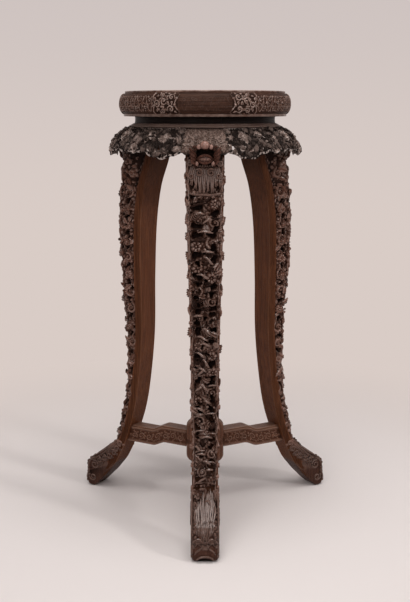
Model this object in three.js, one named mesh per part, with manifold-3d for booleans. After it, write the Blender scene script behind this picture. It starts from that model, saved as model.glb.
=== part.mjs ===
// Tall carved hardwood stand: a round waisted top on three S-curved legs that are tied by a
// three-armed humpback stretcher. Millimetres, +Z up. The origin is the centre of the top face.
// Everything below is laid out from the floor, and the finished stand is lowered at the end.
import * as THREE from 'three';
import { mergeVertices } from 'three/addons/utils/BufferGeometryUtils.js';
import Module from 'manifold-3d';

const wasm = await Module();
wasm.setup();

// Overall sizes
const standHeight = 900;
const legCount = 3;
const firstLegAngle = -90;
const fitGap = 0.3;
const facetAngle = 7.5;
const cutMargin = 10;
const tenonRoot = 2;

// Round top: a curved frame in three scarfed lengths round a floating panel
const topRadius = 165;
const topFilletHeight = 6;
const rimBulgeRadius = 178;
const rimBulgeHeight = 39;
const rimQuirk = 1.5;
const lowerFilletRadius = 168;
const lowerFilletHeight = 5.5;
const rimInnerRadius = 112;
const panelRadius = 120;
const panelLip = 5.4;
const tongueReach = 8;
const tongueThickness = 5.4;
const scarfHalfAngle = 9;
const keyWidth = 8;
const keyTaper = 1.2;
const keyCover = 6;

// Two dovetailed battens under the panel
const battenSpacing = 90;
const battenWidth = 28;
const battenHeight = 20;
const dovetailDepth = 4;
const dovetailNeck = 14;
const dovetailHead = 19;
const battenTenonReach = 9;
const battenTenonWidth = 16;
const battenTenonHeight = 10;

// Waist and shoulder moulding under the rim
const waistRadius = 145.5;
const waistThickness = 9.5;
const waistHeight = 13;
const waistJointAngle = 13;
const shoulderRadius = 157;
const shoulderHeight = 7.5;

// Apron: a flaring convex skirt between the leg heads, with an openwork scroll pattern
const apronFlare = 43;
const apronDrop = 55;
const apronTopDepth = 14;
const apronWall = 14;
const apronEdgeTurn = 79;
const apronFullness = 1.65;
const apronLobeTurn = 15;
const apronLobeAngle = 26;
const apronLobeSpan = 15;
const apronTenonReach = 9;
const apronTenonWidth = 7;
const apronTenonHeight = 18;
const apronTenonDrop = 4;
const apronTenonRoot = 6;
const headHalfAngle = 13.4;
const scrollRidge = 3.2;

// Leg: a curved plank with plain inner face and sides, and deep pierced carving in front
const toeReach = 305;
const legStations = [
  { height: 0, inner: toeReach - 22, outer: toeReach - 4, width: 51 },
  { height: 25, inner: toeReach - 46, outer: toeReach - 2, width: 51 },
  { height: 64, inner: toeReach - 80, outer: toeReach - 12, width: 53 },
  { height: 88, inner: toeReach - 94, outer: toeReach - 42, width: 53 },
  { height: 120, inner: toeReach - 109, outer: toeReach - 79, width: 52 },
  { height: 190, inner: 171.5, outer: 206, width: 55 },
  { height: 257, inner: 158, outer: 192, width: 56 },
  { height: 375, inner: 145.5, outer: 190, width: 58 },
  { height: 500, inner: 145, outer: 198, width: 64 },
  { height: 620, inner: 141.5, outer: 202, width: 71 },
  { height: 700, inner: 130, outer: 196, width: 74 },
  { height: 755, inner: 112, outer: 186, width: 77 },
  { height: 800, inner: 100, outer: 182, width: 78 },
];
const plankDepth = 20;
const outlineStep = 60;
const reliefFootHeight = 84;
const frontRise = 12;
const topCover = 10;
const postInnerRadius = 100;
const postOuterRadius = 132;
const postWidth = 44;
const postFooting = 30;
const legTenonWidth = 30;
const legTenonInnerRadius = 116;
const legTenonDepth = 14;
const legTenonHeight = 18;

// Branches, blossoms and leaves carved on the front of each leg
const branchWave = 86;
const branchWidth = 20;
const branchDepth = 15;
const branchLift = 14;
const branchRelief = 4;
const branchUnder = 3;
const branchSteps = 16;
const blossomRadius = 14;
const blossomHeight = 9;
const blossomSink = 1;
const leafLength = 30;
const leafWidth = 12;
const leafTilt = 40;
const toeFlowerHeight = 152;
const toeFlowerOffset = -5;
const toeFlowerRadius = 11;
const toeFlowerLift = 9;

// Beast mask at the head of each leg and beast head at its toe
const noseRadius = 10;
const noseRise = 6;
const cheekOffset = 24;
const cheekTilt = 22;
const cheekDrop = 8;
const jawDrop = 84;
const jawShare = 0.84;
const jawSink = 4;
const maneSink = 6;
const lipThickness = 7;
const mouthHeight = 18;
const mouthDepth = 20;
const curlRadius = 10;
const curlReach = 7;
const curlAngle = 8.6;
const curlTurn = 66;
const eyeRadius = 5.5;
const eyeInset = 7;
const eyeHeight = 39;
const eyeOffset = 15;

// Toe outline: how far each point lies inside the reach of the toe, and its height
const toeOutline = [
  [69, 103], [55, 96], [40, 88], [26, 79], [15, 70], [8, 59], [4.5, 46], [5.5, 37],
  [1.5, 29], [0, 20], [1.5, 9], [6, 2.5], [13, 0],
];
const toeMiddle = [48, 44];
const toeRounding = 0.1;
const toeFlatShare = 0.84;
const toeWall = 2;

// Stretcher: three humpback arms tenoned into the legs and into a turned hub
const armWidth = 36;
const armHeight = 38;
const armLegHeight = 122;
const armRise = 11;
const armStepOuter = 134;
const armStepInner = 103;
const armStepShift = 8;
const armTenonReach = 12;
const armTenonWidth = 16;
const armTenonHeight = 24;
const armTenonCover = 8;
const hubRadius = 41;
const hubBottom = 104;
const hubTop = 198;
const hubRound = 16;
const hubDome = 4;

// Heights that follow from the sizes above
const rimTop = standHeight;
const bulgeTop = rimTop - topFilletHeight;
const bulgeBottom = bulgeTop - rimBulgeHeight;
const rimBottom = bulgeBottom - lowerFilletHeight;
const waistTop = rimBottom - fitGap;
const waistBottom = waistTop - waistHeight;
const shoulderTop = waistBottom - fitGap;
const shoulderBottom = shoulderTop - shoulderHeight;
const apronTop = shoulderBottom - fitGap;
const tongueTop = rimTop - panelLip;
const tongueBottom = tongueTop - tongueThickness;
const waistInnerRadius = waistRadius - waistThickness;
const legSpan = 360 / legCount;

const radians = THREE.MathUtils.degToRad;
const degrees = THREE.MathUtils.radToDeg;

// Solids and geometries

function toSolid(geometry) {
  const bare = geometry.clone();
  bare.deleteAttribute('normal');
  bare.deleteAttribute('uv');
  const merged = mergeVertices(bare, 1e-4);
  return new wasm.Manifold(new wasm.Mesh({
    numProp: 3,
    vertProperties: new Float32Array(merged.attributes.position.array),
    triVerts: new Uint32Array(merged.index.array),
  }));
}

function toGeometry(solid) {
  const mesh = solid.getMesh();
  const indexed = new THREE.BufferGeometry();
  indexed.setAttribute('position', new THREE.BufferAttribute(mesh.vertProperties, 3));
  indexed.setIndex(new THREE.BufferAttribute(mesh.triVerts, 1));
  const geometry = indexed.toNonIndexed();
  geometry.computeVertexNormals();
  return geometry;
}

function joinAll(solids) {
  return solids.reduce((whole, next) => whole.add(next));
}

function box(sizeX, sizeY, sizeZ, x, y, z) {
  return toSolid(new THREE.BoxGeometry(sizeX, sizeY, sizeZ).translate(x, y, z));
}

// A smooth curve through hand-set stations, read as a function of height
function smoothThrough(stations, key) {
  const last = stations.length - 1;
  const slope = (i) => {
    const low = stations[Math.max(i - 1, 0)];
    const high = stations[Math.min(i + 1, last)];
    return (high[key] - low[key]) / (high.height - low.height);
  };
  return (height) => {
    const clamped = THREE.MathUtils.clamp(height, stations[0].height, stations[last].height);
    let i = 0;
    while (i < last - 1 && clamped > stations[i + 1].height) i += 1;
    const a = stations[i];
    const b = stations[i + 1];
    const span = b.height - a.height;
    const t = (clamped - a.height) / span;
    const t2 = t * t;
    const t3 = t2 * t;
    return (2 * t3 - 3 * t2 + 1) * a[key] + (t3 - 2 * t2 + t) * span * slope(i)
      + (3 * t2 - 2 * t3) * b[key] + (t3 - t2) * span * slope(i + 1);
  };
}

// A closed loft: section(i) gives one ring of points, and each end is capped flat.
function loft(section, rings, flatten) {
  const loops = Array.from({ length: rings }, (_, i) => section(i));
  const count = loops[0].length;
  const positions = loops.flat().flatMap((p) => [p.x, p.y, p.z]);
  const index = [];
  for (let i = 0; i < rings - 1; i += 1) {
    for (let j = 0; j < count; j += 1) {
      const next = (j + 1) % count;
      const a = i * count + j;
      const b = i * count + next;
      index.push(a, b, b + count, a, b + count, a + count);
    }
  }
  const capOf = (loop) => THREE.ShapeUtils.triangulateShape(loop.map(flatten), []);
  const lastRing = (rings - 1) * count;
  const turned = THREE.ShapeUtils.isClockWise(loops[0].map(flatten));
  for (const [a, b, c] of capOf(loops[0])) index.push(...(turned ? [a, b, c] : [a, c, b]));
  for (const [a, b, c] of capOf(loops[rings - 1])) {
    index.push(...(turned ? [lastRing + a, lastRing + c, lastRing + b]
      : [lastRing + a, lastRing + b, lastRing + c]));
  }
  const geometry = new THREE.BufferGeometry();
  geometry.setAttribute('position', new THREE.Float32BufferAttribute(positions, 3));
  geometry.setIndex(index);
  return geometry;
}

// A length of ring: a profile of (radius, height) points turned from one angle to another.
// The profile runs counter-clockwise when seen with the radius to the right.
function ringLength(profile, fromAngle, toAngle) {
  const steps = Math.max(1, Math.round((toAngle - fromAngle) / facetAngle));
  const section = (i) => {
    const angle = radians(fromAngle + ((toAngle - fromAngle) * i) / steps);
    return profile.map(([r, z]) => new THREE.Vector3(r * Math.cos(angle), r * Math.sin(angle), z));
  };
  const flatten = (p) => new THREE.Vector2(Math.hypot(p.x, p.y), p.z);
  return toSolid(loft((i) => section(steps - i), steps + 1, flatten));
}

// Angle that a small length takes up at a radius
function angleOf(length, radius) {
  return degrees(length / radius);
}

// Rim profile: top fillet, bulging middle, lower fillet and the groove for the panel
function rimProfile() {
  const bulgeMiddle = (bulgeTop + bulgeBottom) / 2;
  const bulgeFoot = topRadius + rimQuirk / 2;
  const bulgeSteps = 6;
  const bulge = Array.from({ length: bulgeSteps + 1 }, (_, i) => {
    const turn = -Math.PI / 2 + (Math.PI * i) / bulgeSteps;
    return [
      bulgeFoot + (rimBulgeRadius - bulgeFoot) * Math.cos(turn),
      bulgeMiddle + (rimBulgeHeight / 2) * Math.sin(turn),
    ];
  });
  return [
    [rimInnerRadius, rimBottom],
    [lowerFilletRadius, rimBottom],
    [lowerFilletRadius, bulgeBottom],
    ...bulge,
    [topRadius, bulgeTop],
    [topRadius, rimTop],
    [panelRadius, rimTop],
    [panelRadius, tongueTop],
    [panelRadius + tongueReach, tongueTop],
    [panelRadius + tongueReach, tongueBottom],
    [rimInnerRadius, tongueBottom],
  ];
}

// Wedge key of a scarf joint, driven up from below and hidden by the wood above it
const keyRadius = (rimInnerRadius + topRadius) / 2;
const keyLength = tongueBottom - rimBottom - keyCover;

function wedgeKey(grow) {
  const half = keyWidth / 2 + grow;
  const shape = (taper) => [
    [-half + taper, -half + taper], [half - taper, -half + taper],
    [half - taper, half - taper], [-half + taper, half - taper],
  ];
  const levels = [rimBottom + fitGap - grow * 2, rimBottom + fitGap + keyLength + grow];
  const section = (i) => shape(i * keyTaper).map(([x, y]) => new THREE.Vector3(keyRadius + x, y, levels[i]));
  return toSolid(loft(section, 2, (p) => new THREE.Vector2(p.x, p.y)));
}

// One third of the rim, with a half lap at each end
function rimSegment() {
  const middle = (rimBottom + tongueBottom) / 2;
  const gapAngle = angleOf(fitGap / 2, keyRadius);
  const reach = legSpan / 2 + scarfHalfAngle;
  const lapInner = legSpan / 2 - scarfHalfAngle;
  const far = rimBulgeRadius + cutMargin;
  const near = rimInnerRadius - cutMargin;
  const lapCut = (low, high, from, to) => ringLength(
    [[near, low], [far, low], [far, high], [near, high]], from, to);
  const above = [middle - fitGap / 2, rimTop + cutMargin];
  const below = [rimBottom - cutMargin, middle + fitGap / 2];
  let solid = ringLength(rimProfile(), -reach + gapAngle, reach - gapAngle);
  solid = solid.subtract(lapCut(...above, lapInner - gapAngle, reach + facetAngle));
  solid = solid.subtract(lapCut(...below, -reach - facetAngle, -lapInner + gapAngle));
  for (const side of [-1, 1]) {
    solid = solid.subtract(wedgeKey(fitGap).rotate([0, 0, (side * legSpan) / 2]));
  }
  return solid.subtract(legTenon(fitGap));
}

// Tenon on the head of a leg, standing into the underside of the rim
function legTenon(grow) {
  const x = legTenonInnerRadius + legTenonDepth / 2;
  const base = rimBottom - fitGap - tenonRoot;
  const top = rimBottom - fitGap + legTenonHeight + grow;
  return box(legTenonDepth + grow * 2, legTenonWidth + grow * 2, top - base, x, 0, (top + base) / 2);
}

// Floating panel, tongued into the rim and grooved below for the battens
function topPanel() {
  const edge = panelRadius + tongueReach - fitGap;
  const segments = Math.round(360 / facetAngle);
  const profile = [
    [0, tongueBottom + fitGap], [edge, tongueBottom + fitGap], [edge, tongueTop - fitGap],
    [panelRadius - fitGap, tongueTop - fitGap], [panelRadius - fitGap, rimTop], [0, rimTop],
  ].map(([r, z]) => new THREE.Vector2(r, z));
  const disc = toSolid(new THREE.LatheGeometry(profile, segments).rotateX(Math.PI / 2));
  return [-1, 1].reduce((solid, side) => solid.subtract(
    dovetail(fitGap, panelRadius * 2).translate([(side * battenSpacing) / 2, 0, 0])), disc);
}

function dovetail(grow, length) {
  const low = tongueBottom + fitGap - 1;
  const high = tongueBottom + fitGap + dovetailDepth + grow;
  const neck = dovetailNeck / 2 + grow;
  const head = dovetailHead / 2 + grow;
  const outline = [[-neck, low], [neck, low], [head, high], [-head, high]];
  const section = (i) => outline.map(([x, z]) => new THREE.Vector3(x, (i - 0.5) * length, z));
  return toSolid(loft((i) => section(1 - i), 2, (p) => new THREE.Vector2(p.x, p.z)));
}

// Batten: a bar with a dovetail along its top and a tenon at each end
function battenTenons(grow) {
  const chord = Math.sqrt(rimInnerRadius ** 2 - (battenSpacing / 2 - battenTenonWidth / 2) ** 2);
  const length = (chord + battenTenonReach + grow) * 2;
  const height = tongueBottom - battenHeight / 2;
  return box(battenTenonWidth + grow * 2, length, battenTenonHeight + grow * 2, 0, 0, height);
}

function batten(side) {
  const bore = toSolid(new THREE.CylinderGeometry(
    rimInnerRadius - fitGap * 3, rimInnerRadius - fitGap * 3, standHeight, 96)
    .rotateX(Math.PI / 2).translate((-side * battenSpacing) / 2, 0, standHeight / 2));
  const bar = box(battenWidth, rimInnerRadius * 2, battenHeight, 0, 0, tongueBottom - battenHeight / 2);
  return bar.add(dovetail(0, rimInnerRadius * 2)).intersect(bore).add(battenTenons(0));
}

// Waist and shoulder moulding: plain rings in three lengths that butt beside the leg heads
function waistSegment() {
  const gapAngle = angleOf(fitGap / 2, waistRadius);
  const profile = [
    [waistInnerRadius, waistBottom], [waistRadius, waistBottom],
    [waistRadius, waistTop], [waistInnerRadius, waistTop],
  ];
  return ringLength(profile, waistJointAngle + gapAngle, waistJointAngle + legSpan - gapAngle);
}

function shoulderSegment() {
  const gapAngle = angleOf(fitGap / 2, shoulderRadius);
  const reach = shoulderRadius - waistRadius;
  const ogee = [0.35, 0.75].map((t) => [
    shoulderRadius - reach * t,
    shoulderBottom + shoulderHeight * (0.35 + 0.6 * (0.5 - 0.5 * Math.cos(Math.PI * t))),
  ]);
  const profile = [
    [waistInnerRadius, shoulderBottom], [shoulderRadius - 1, shoulderBottom],
    [shoulderRadius, shoulderBottom + shoulderHeight * 0.2], ...ogee,
    [waistRadius, shoulderTop], [waistInnerRadius, shoulderTop],
  ];
  return ringLength(profile, waistJointAngle + gapAngle, waistJointAngle + legSpan - gapAngle);
}

// Apron section: a quarter ellipse outside, a smaller one inside and a flat top under the shoulder
function apronOuter(turn) {
  return [
    shoulderRadius + apronFlare * Math.sin(turn) ** apronFullness,
    apronTop - apronDrop * (1 - Math.cos(turn)),
  ];
}

function apronInner(turn) {
  const flare = shoulderRadius + apronFlare - apronWall - waistInnerRadius;
  return [
    waistInnerRadius + flare * Math.sin(turn),
    apronTop - apronTopDepth - (apronDrop - apronTopDepth) * (1 - Math.cos(turn)),
  ];
}

// The lower edge hangs in a lobe on each side of a leg and rises again at mid-span.
function apronEndTurn(angle) {
  const fromLeg = Math.min(angle, legSpan - angle);
  const offset = THREE.MathUtils.clamp((fromLeg - apronLobeAngle) / apronLobeSpan, -1, 1);
  return radians(apronEdgeTurn + apronLobeTurn * (0.5 + 0.5 * Math.cos(Math.PI * offset)));
}

function apronSection(endTurn) {
  const outerSteps = 5;
  const innerSteps = 3;
  const outer = Array.from({ length: outerSteps + 1 }, (_, i) => apronOuter(endTurn * (1 - i / outerSteps)));
  const inner = Array.from({ length: innerSteps + 1 }, (_, i) => apronInner(endTurn * (i / innerSteps)));
  return [...outer, [waistInnerRadius, apronTop], ...inner];
}

function apronPoint(angle, turn, lift) {
  const [r, z] = apronOuter(turn);
  const step = radians(1);
  const [innerR, innerZ] = apronOuter(turn - step);
  const [outerR, outerZ] = apronOuter(turn + step);
  const normalR = innerZ - outerZ;
  const normalZ = outerR - innerR;
  const length = Math.hypot(normalR, normalZ);
  const radius = r + (lift * normalR) / length;
  return new THREE.Vector3(
    radius * Math.cos(radians(angle)), radius * Math.sin(radians(angle)), z + (lift * normalZ) / length);
}

// Frame on the apron face: local z points out of the face and local y up it
function apronPlace(angle, turn) {
  const point = apronPoint(angle, turn, 0);
  const normal = apronPoint(angle, turn, 1).sub(point).normalize();
  const across = new THREE.Vector3(-Math.sin(radians(angle)), Math.cos(radians(angle)), 0);
  const up = new THREE.Vector3().crossVectors(normal, across).normalize();
  return new THREE.Matrix4().makeBasis(across, up, normal).setPosition(point);
}

const spiralTurns = 1.3;
const spiralTaper = 0.72;

// Openings between the scrolls: teardrops in mirrored pairs about mid-span
const apronPiercings = [
  { offset: 7, turn: 42, length: 20, width: 10, tilt: 70 },
  { offset: 18, turn: 70, length: 16, width: 9, tilt: -35 },
  { offset: 27, turn: 36, length: 20, width: 10, tilt: 60 },
];
const apronScrolls = [
  { offset: 16, turn: 40, radius: 12 },
  { offset: 33, turn: 58, radius: 14 },
];

function teardrop(length, width) {
  const shape = new THREE.Shape();
  shape.moveTo(0, length / 2);
  shape.bezierCurveTo(-width, 0, -width / 2, -length / 2, 0, -length / 2);
  shape.bezierCurveTo(width / 2, -length / 2, width, 0, 0, length / 2);
  const depth = apronWall * 4;
  return new THREE.ExtrudeGeometry(shape, { depth, bevelEnabled: false, curveSegments: 2 })
    .translate(0, 0, -depth / 2);
}

// A raised spiral lying on a carrier surface; place(u, v) gives the point at a flat offset
function spiralRidge(radius, ridge, hand, place) {
  const steps = 6;
  const points = Array.from({ length: steps + 1 }, (_, i) => {
    const t = i / steps;
    const angle = hand * t * spiralTurns * 2 * Math.PI;
    const r = radius * (1 - spiralTaper * t);
    return place(r * Math.cos(angle), r * Math.sin(angle));
  });
  const path = new THREE.CatmullRomCurve3(points);
  const section = new THREE.Shape(
    [[-ridge, 0], [0, -ridge], [ridge, 0], [0, ridge]].map(([x, y]) => new THREE.Vector2(x, y)));
  return toSolid(new THREE.ExtrudeGeometry(section, { steps, bevelEnabled: false, extrudePath: path }));
}

function apronTenons(grow) {
  const radius = shoulderRadius + apronTenonWidth / 2;
  const middleHeight = apronTop - apronTopDepth - apronTenonDrop;
  const reach = apronTenonReach + grow;
  return [headHalfAngle, legSpan - headHalfAngle].map((angle, end) => {
    const length = reach + apronTenonRoot;
    const middle = (end === 0 ? -1 : 1) * (reach - apronTenonRoot) / 2;
    return box(apronTenonWidth + grow * 2, length, apronTenonHeight + grow * 2, radius, middle, middleHeight)
      .rotate([0, 0, angle]);
  });
}

function apron() {
  const gapAngle = angleOf(fitGap, shoulderRadius);
  const from = headHalfAngle + gapAngle;
  const to = legSpan - from;
  const steps = 10;
  const section = (i) => {
    const angle = to + ((from - to) * i) / steps;
    return apronSection(apronEndTurn(angle)).map(([r, z]) => new THREE.Vector3(
      r * Math.cos(radians(angle)), r * Math.sin(radians(angle)), z));
  };
  let solid = toSolid(loft(section, steps + 1, (p) => new THREE.Vector2(Math.hypot(p.x, p.y), p.z)));
  for (const side of [-1, 1]) {
    for (const hole of apronPiercings) {
      const geometry = teardrop(hole.length, hole.width).rotateZ(radians(side * hole.tilt));
      geometry.applyMatrix4(apronPlace(legSpan / 2 + side * hole.offset, radians(hole.turn)));
      solid = solid.subtract(toSolid(geometry));
    }
    for (const scroll of apronScrolls) {
      const radius = apronOuter(radians(scroll.turn))[0];
      const place = (u, v) => apronPoint(
        legSpan / 2 + side * scroll.offset + angleOf(u, radius),
        radians(scroll.turn) + v / ((apronFlare + apronDrop) / 2),
        scrollRidge * 0.3);
      solid = solid.add(spiralRidge(scroll.radius, scrollRidge, side, place));
    }
  }
  return joinAll([solid, ...apronTenons(0)]);
}

// Leg body: the plank outline with the post above and the flat sole below
const innerAt = smoothThrough(legStations, 'inner');
const outerAt = smoothThrough(legStations, 'outer');
const widthAt = smoothThrough(legStations, 'width');
const headHeight = apronTop - apronDrop;

function plankFace(height) {
  return innerAt(height) + plankDepth;
}

// Extrudes an outline of (radius, height) points and gives it the leg's width at each height
function acrossLeg(outline, share) {
  const shape = new THREE.Shape(outline.map(([r, z]) => new THREE.Vector2(r, z)));
  const geometry = new THREE.ExtrudeGeometry(shape, { depth: 1, bevelEnabled: false, curveSegments: 1 })
    .translate(0, 0, -0.5).rotateX(Math.PI / 2);
  const position = geometry.attributes.position;
  for (let i = 0; i < position.count; i += 1) {
    position.setY(i, position.getY(i) * widthAt(position.getZ(i)) * share);
  }
  return toSolid(geometry);
}

function legPlank() {
  const inner = [];
  const frontTop = headHeight + frontRise;
  for (let height = 0; height < frontTop; height += outlineStep) inner.push([innerAt(height), height]);
  const front = [];
  for (let height = frontTop; height > reliefFootHeight; height -= outlineStep) {
    front.push([plankFace(height), height]);
  }
  const [, toeHump] = toeOutline[4];
  const toe = [
    [innerAt(toeHump) + plankDepth, toeHump],
    [innerAt(0) + plankDepth / 2, 0],
  ];
  const top = apronTop - topCover;
  return acrossLeg([
    [postInnerRadius, top], ...inner.reverse(), ...toe.reverse(), ...front.reverse(),
    [plankFace(frontTop), top],
  ], 1);
}

// Toe: a scroll that humps up over a curled lip, rounded off at its sides, with two eyes
function legToe() {
  const [, top] = toeOutline[0];
  const body = (inset) => [
    ...toeOutline.map(([x, z]) => [
      toeReach - x - (toeMiddle[0] - x) * inset,
      z + (toeMiddle[1] - z) * inset,
    ]),
    [innerAt(0) + toeWall, toeMiddle[1] * inset],
    [innerAt(toeMiddle[1]) + toeWall, toeMiddle[1]],
    [innerAt(top) + toeWall, top + (toeMiddle[1] - top) * inset],
  ];
  const eyes = [-1, 1].map((side) => toSolid(
    new THREE.SphereGeometry(eyeRadius, 6, 4).translate(toeReach - eyeInset, side * eyeOffset, eyeHeight)));
  return [acrossLeg(body(0), toeFlatShare), acrossLeg(body(toeRounding), 1), ...eyes];
}

// Point on the carved front: height along the leg, offset across it and depth below the outer line
function legPoint(height, across, sink) {
  return new THREE.Vector3(outerAt(height) - sink, across, height);
}

function legPlace(height, across, sink) {
  const reach = 4;
  const slope = (outerAt(height + reach) - outerAt(height - reach)) / (2 * reach);
  const up = new THREE.Vector3(slope, 0, 1).normalize();
  const side = new THREE.Vector3(0, 1, 0);
  const normal = new THREE.Vector3().crossVectors(side, up).normalize();
  return new THREE.Matrix4().makeBasis(up, side.negate(), normal)
    .setPosition(legPoint(height, across, sink));
}

// A branch winds from side to side and lifts clear of the plank between its footings.
const branchTop = headHeight - 72;
const branchFoot = reliefFootHeight - 26;

function branchAcross(height, hand) {
  const sway = (widthAt(height) - branchWidth) / 2;
  return hand * sway * Math.sin((Math.PI * height) / branchWave);
}

function branch(hand) {
  const under = hand > 0 ? 0 : branchUnder;
  const half = branchWidth / 2;
  const section = (i) => {
    const height = branchFoot + ((branchTop - branchFoot) * i) / branchSteps;
    const phase = (Math.PI * height) / branchWave;
    const across = branchAcross(height, hand);
    const front = outerAt(height) - branchRelief - under;
    const lift = branchLift * Math.max(0, Math.cos(phase + (hand * Math.PI) / 5)) ** 2;
    const back = Math.min(plankFace(height) - 2 + lift, front - branchDepth / 2);
    return [[back, -half], [front, -half * 0.7], [front, half * 0.7], [back, half]]
      .map(([depth, side]) => new THREE.Vector3(depth, across + side, height));
  };
  return toSolid(loft(section, branchSteps + 1, (p) => new THREE.Vector2(p.x, p.y)));
}

// Five-petalled blossom, hollowed in the middle and tapering back to its stalk
const petalDepth = 0.13;

function blossom(radius, height) {
  const profile = [
    [0, -height * 2.2], [radius, -height * 0.3], [radius * 0.55, 0], [0, -height * 0.3],
  ].map(([r, z]) => new THREE.Vector2(r, z));
  const geometry = new THREE.LatheGeometry(profile, 10).rotateX(Math.PI / 2);
  const position = geometry.attributes.position;
  for (let i = 0; i < position.count; i += 1) {
    const x = position.getX(i);
    const y = position.getY(i);
    const reach = Math.hypot(x, y);
    const lobe = 1 + (petalDepth * Math.cos(5 * Math.atan2(y, x)) * reach) / radius;
    position.setX(i, x * lobe);
    position.setY(i, y * lobe);
  }
  return geometry;
}

// Pointed leaf with a ridge along its middle
function leaf(length, width) {
  const profile = [[0, -length / 2], [width / 2, 0], [0, length / 2]]
    .map(([r, z]) => new THREE.Vector2(r, z));
  return new THREE.LatheGeometry(profile, 6).rotateZ(-Math.PI / 2);
}

function legCarving() {
  const pieces = [branch(1), branch(-1)];
  const lobes = Math.floor((branchTop - reliefFootHeight) / branchWave);
  const firstLobe = Math.ceil(reliefFootHeight / branchWave) + 0.5;
  for (let i = 0; i < lobes; i += 1) {
    const height = (firstLobe + i) * branchWave;
    const flower = legPlace(height, branchAcross(height, 1), blossomSink);
    pieces.push(toSolid(blossom(blossomRadius, blossomHeight).applyMatrix4(flower)));
    const tip = legPlace(height, branchAcross(height, -1), leafWidth);
    const turn = radians(i % 2 ? leafTilt : -leafTilt);
    pieces.push(toSolid(leaf(leafLength, leafWidth).rotateZ(turn).applyMatrix4(tip)));
  }
  const flower = legPlace(toeFlowerHeight, toeFlowerOffset, -toeFlowerLift);
  pieces.push(toSolid(blossom(toeFlowerRadius, toeFlowerRadius).applyMatrix4(flower)));
  return pieces;
}

// Leg head: a wedge of the apron's own section, with curls, a nose, cheeks and a lower lip
function legHead() {
  const endTurn = radians(apronEdgeTurn);
  const [, edge] = apronOuter(endTurn);
  const outer = Array.from({ length: 6 }, (_, i) => apronOuter(endTurn * (1 - i / 5)));
  const back = plankFace(headHeight);
  const wedge = ringLength([[back, edge], ...outer, [back, apronTop]], -headHalfAngle, headHalfAngle);
  const curls = [-1, 1].map((side) => {
    const geometry = new THREE.CylinderGeometry(curlRadius * 0.8, curlRadius, curlReach * 2, 8)
      .rotateX(Math.PI / 2);
    return toSolid(geometry.applyMatrix4(apronPlace(side * curlAngle, radians(curlTurn))));
  });
  const front = apronOuter(endTurn)[0];
  const nose = toSolid(new THREE.SphereGeometry(noseRadius, 8, 5).scale(1.1, 1.3, 0.8)
    .translate(front + noseRadius / 5, 0, edge + noseRise));
  const cheeks = [-1, 1].map((side) => toSolid(new THREE.SphereGeometry(noseRadius, 6, 4).scale(0.9, 0.8, 1.7)
    .rotateX(radians(side * cheekTilt))
    .translate(outerAt(edge) - noseRadius / 2, side * cheekOffset, edge - cheekDrop)));
  return [wedge, ...curls, nose, ...cheeks, legJaw(edge)];
}

// Lower jaw and mane under the open mouth, running down into the branches
function legJaw(edge) {
  const maneFoot = edge - jawDrop;
  const maneMiddle = edge - jawDrop * 0.57;
  const lip = edge - mouthHeight;
  const mouthTop = edge + lipThickness / 2;
  const mouthBack = outerAt(edge) - mouthDepth;
  return acrossLeg([
    [plankFace(maneFoot) - jawSink, maneFoot], [outerAt(maneFoot) - maneSink * 1.6, maneFoot],
    [outerAt(maneMiddle) - maneSink, maneMiddle], [outerAt(lip) - maneSink, lip - lipThickness * 2],
    [outerAt(lip), lip - lipThickness], [outerAt(lip) - lipThickness / 2, lip],
    [mouthBack, lip + lipThickness / 2], [mouthBack, mouthTop],
    [plankFace(edge) - jawSink, mouthTop], [plankFace(maneMiddle) - jawSink, maneMiddle],
  ], jawShare);
}

function legPost() {
  const base = apronTop - postFooting;
  const top = rimBottom - fitGap;
  const depth = postOuterRadius - postInnerRadius;
  const middle = (postOuterRadius + postInnerRadius) / 2;
  return box(depth, postWidth, top - base, middle, 0, (top + base) / 2);
}

function leg() {
  let solid = joinAll([
    legPlank(), ...legToe(), ...legCarving(), ...legHead(), legPost(), legTenon(0),
  ]);
  solid = solid.subtract(armTenon(fitGap));
  for (const [end, tenon] of apronTenons(fitGap).entries()) {
    solid = solid.subtract(end === 0 ? tenon : tenon.rotate([0, 0, -legSpan]));
  }
  const floorDepth = 20;
  const belowFloor = box(standHeight, standHeight, floorDepth, standHeight / 2, 0, -floorDepth / 2);
  return solid.subtract(belowFloor);
}

// Stretcher arm: high at the hub, stepping down through a hump to the leg
function armTenon(grow) {
  const height = armLegHeight + armHeight / 2;
  const seat = innerAt(height + armTenonHeight / 2);
  const from = seat - armTenonCover;
  const to = innerAt(height - armTenonHeight / 2) + armTenonReach + grow;
  return box(to - from, armTenonWidth + grow * 2, armTenonHeight + grow * 2, (from + to) / 2, 0, height);
}

function hubTenon(grow) {
  const height = armLegHeight + armRise + armHeight / 2;
  const from = hubRadius - armTenonReach - grow;
  const to = hubRadius + armTenonCover;
  return box(to - from, armTenonWidth + grow * 2, armTenonHeight + grow * 2, (from + to) / 2, 0, height);
}

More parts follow.
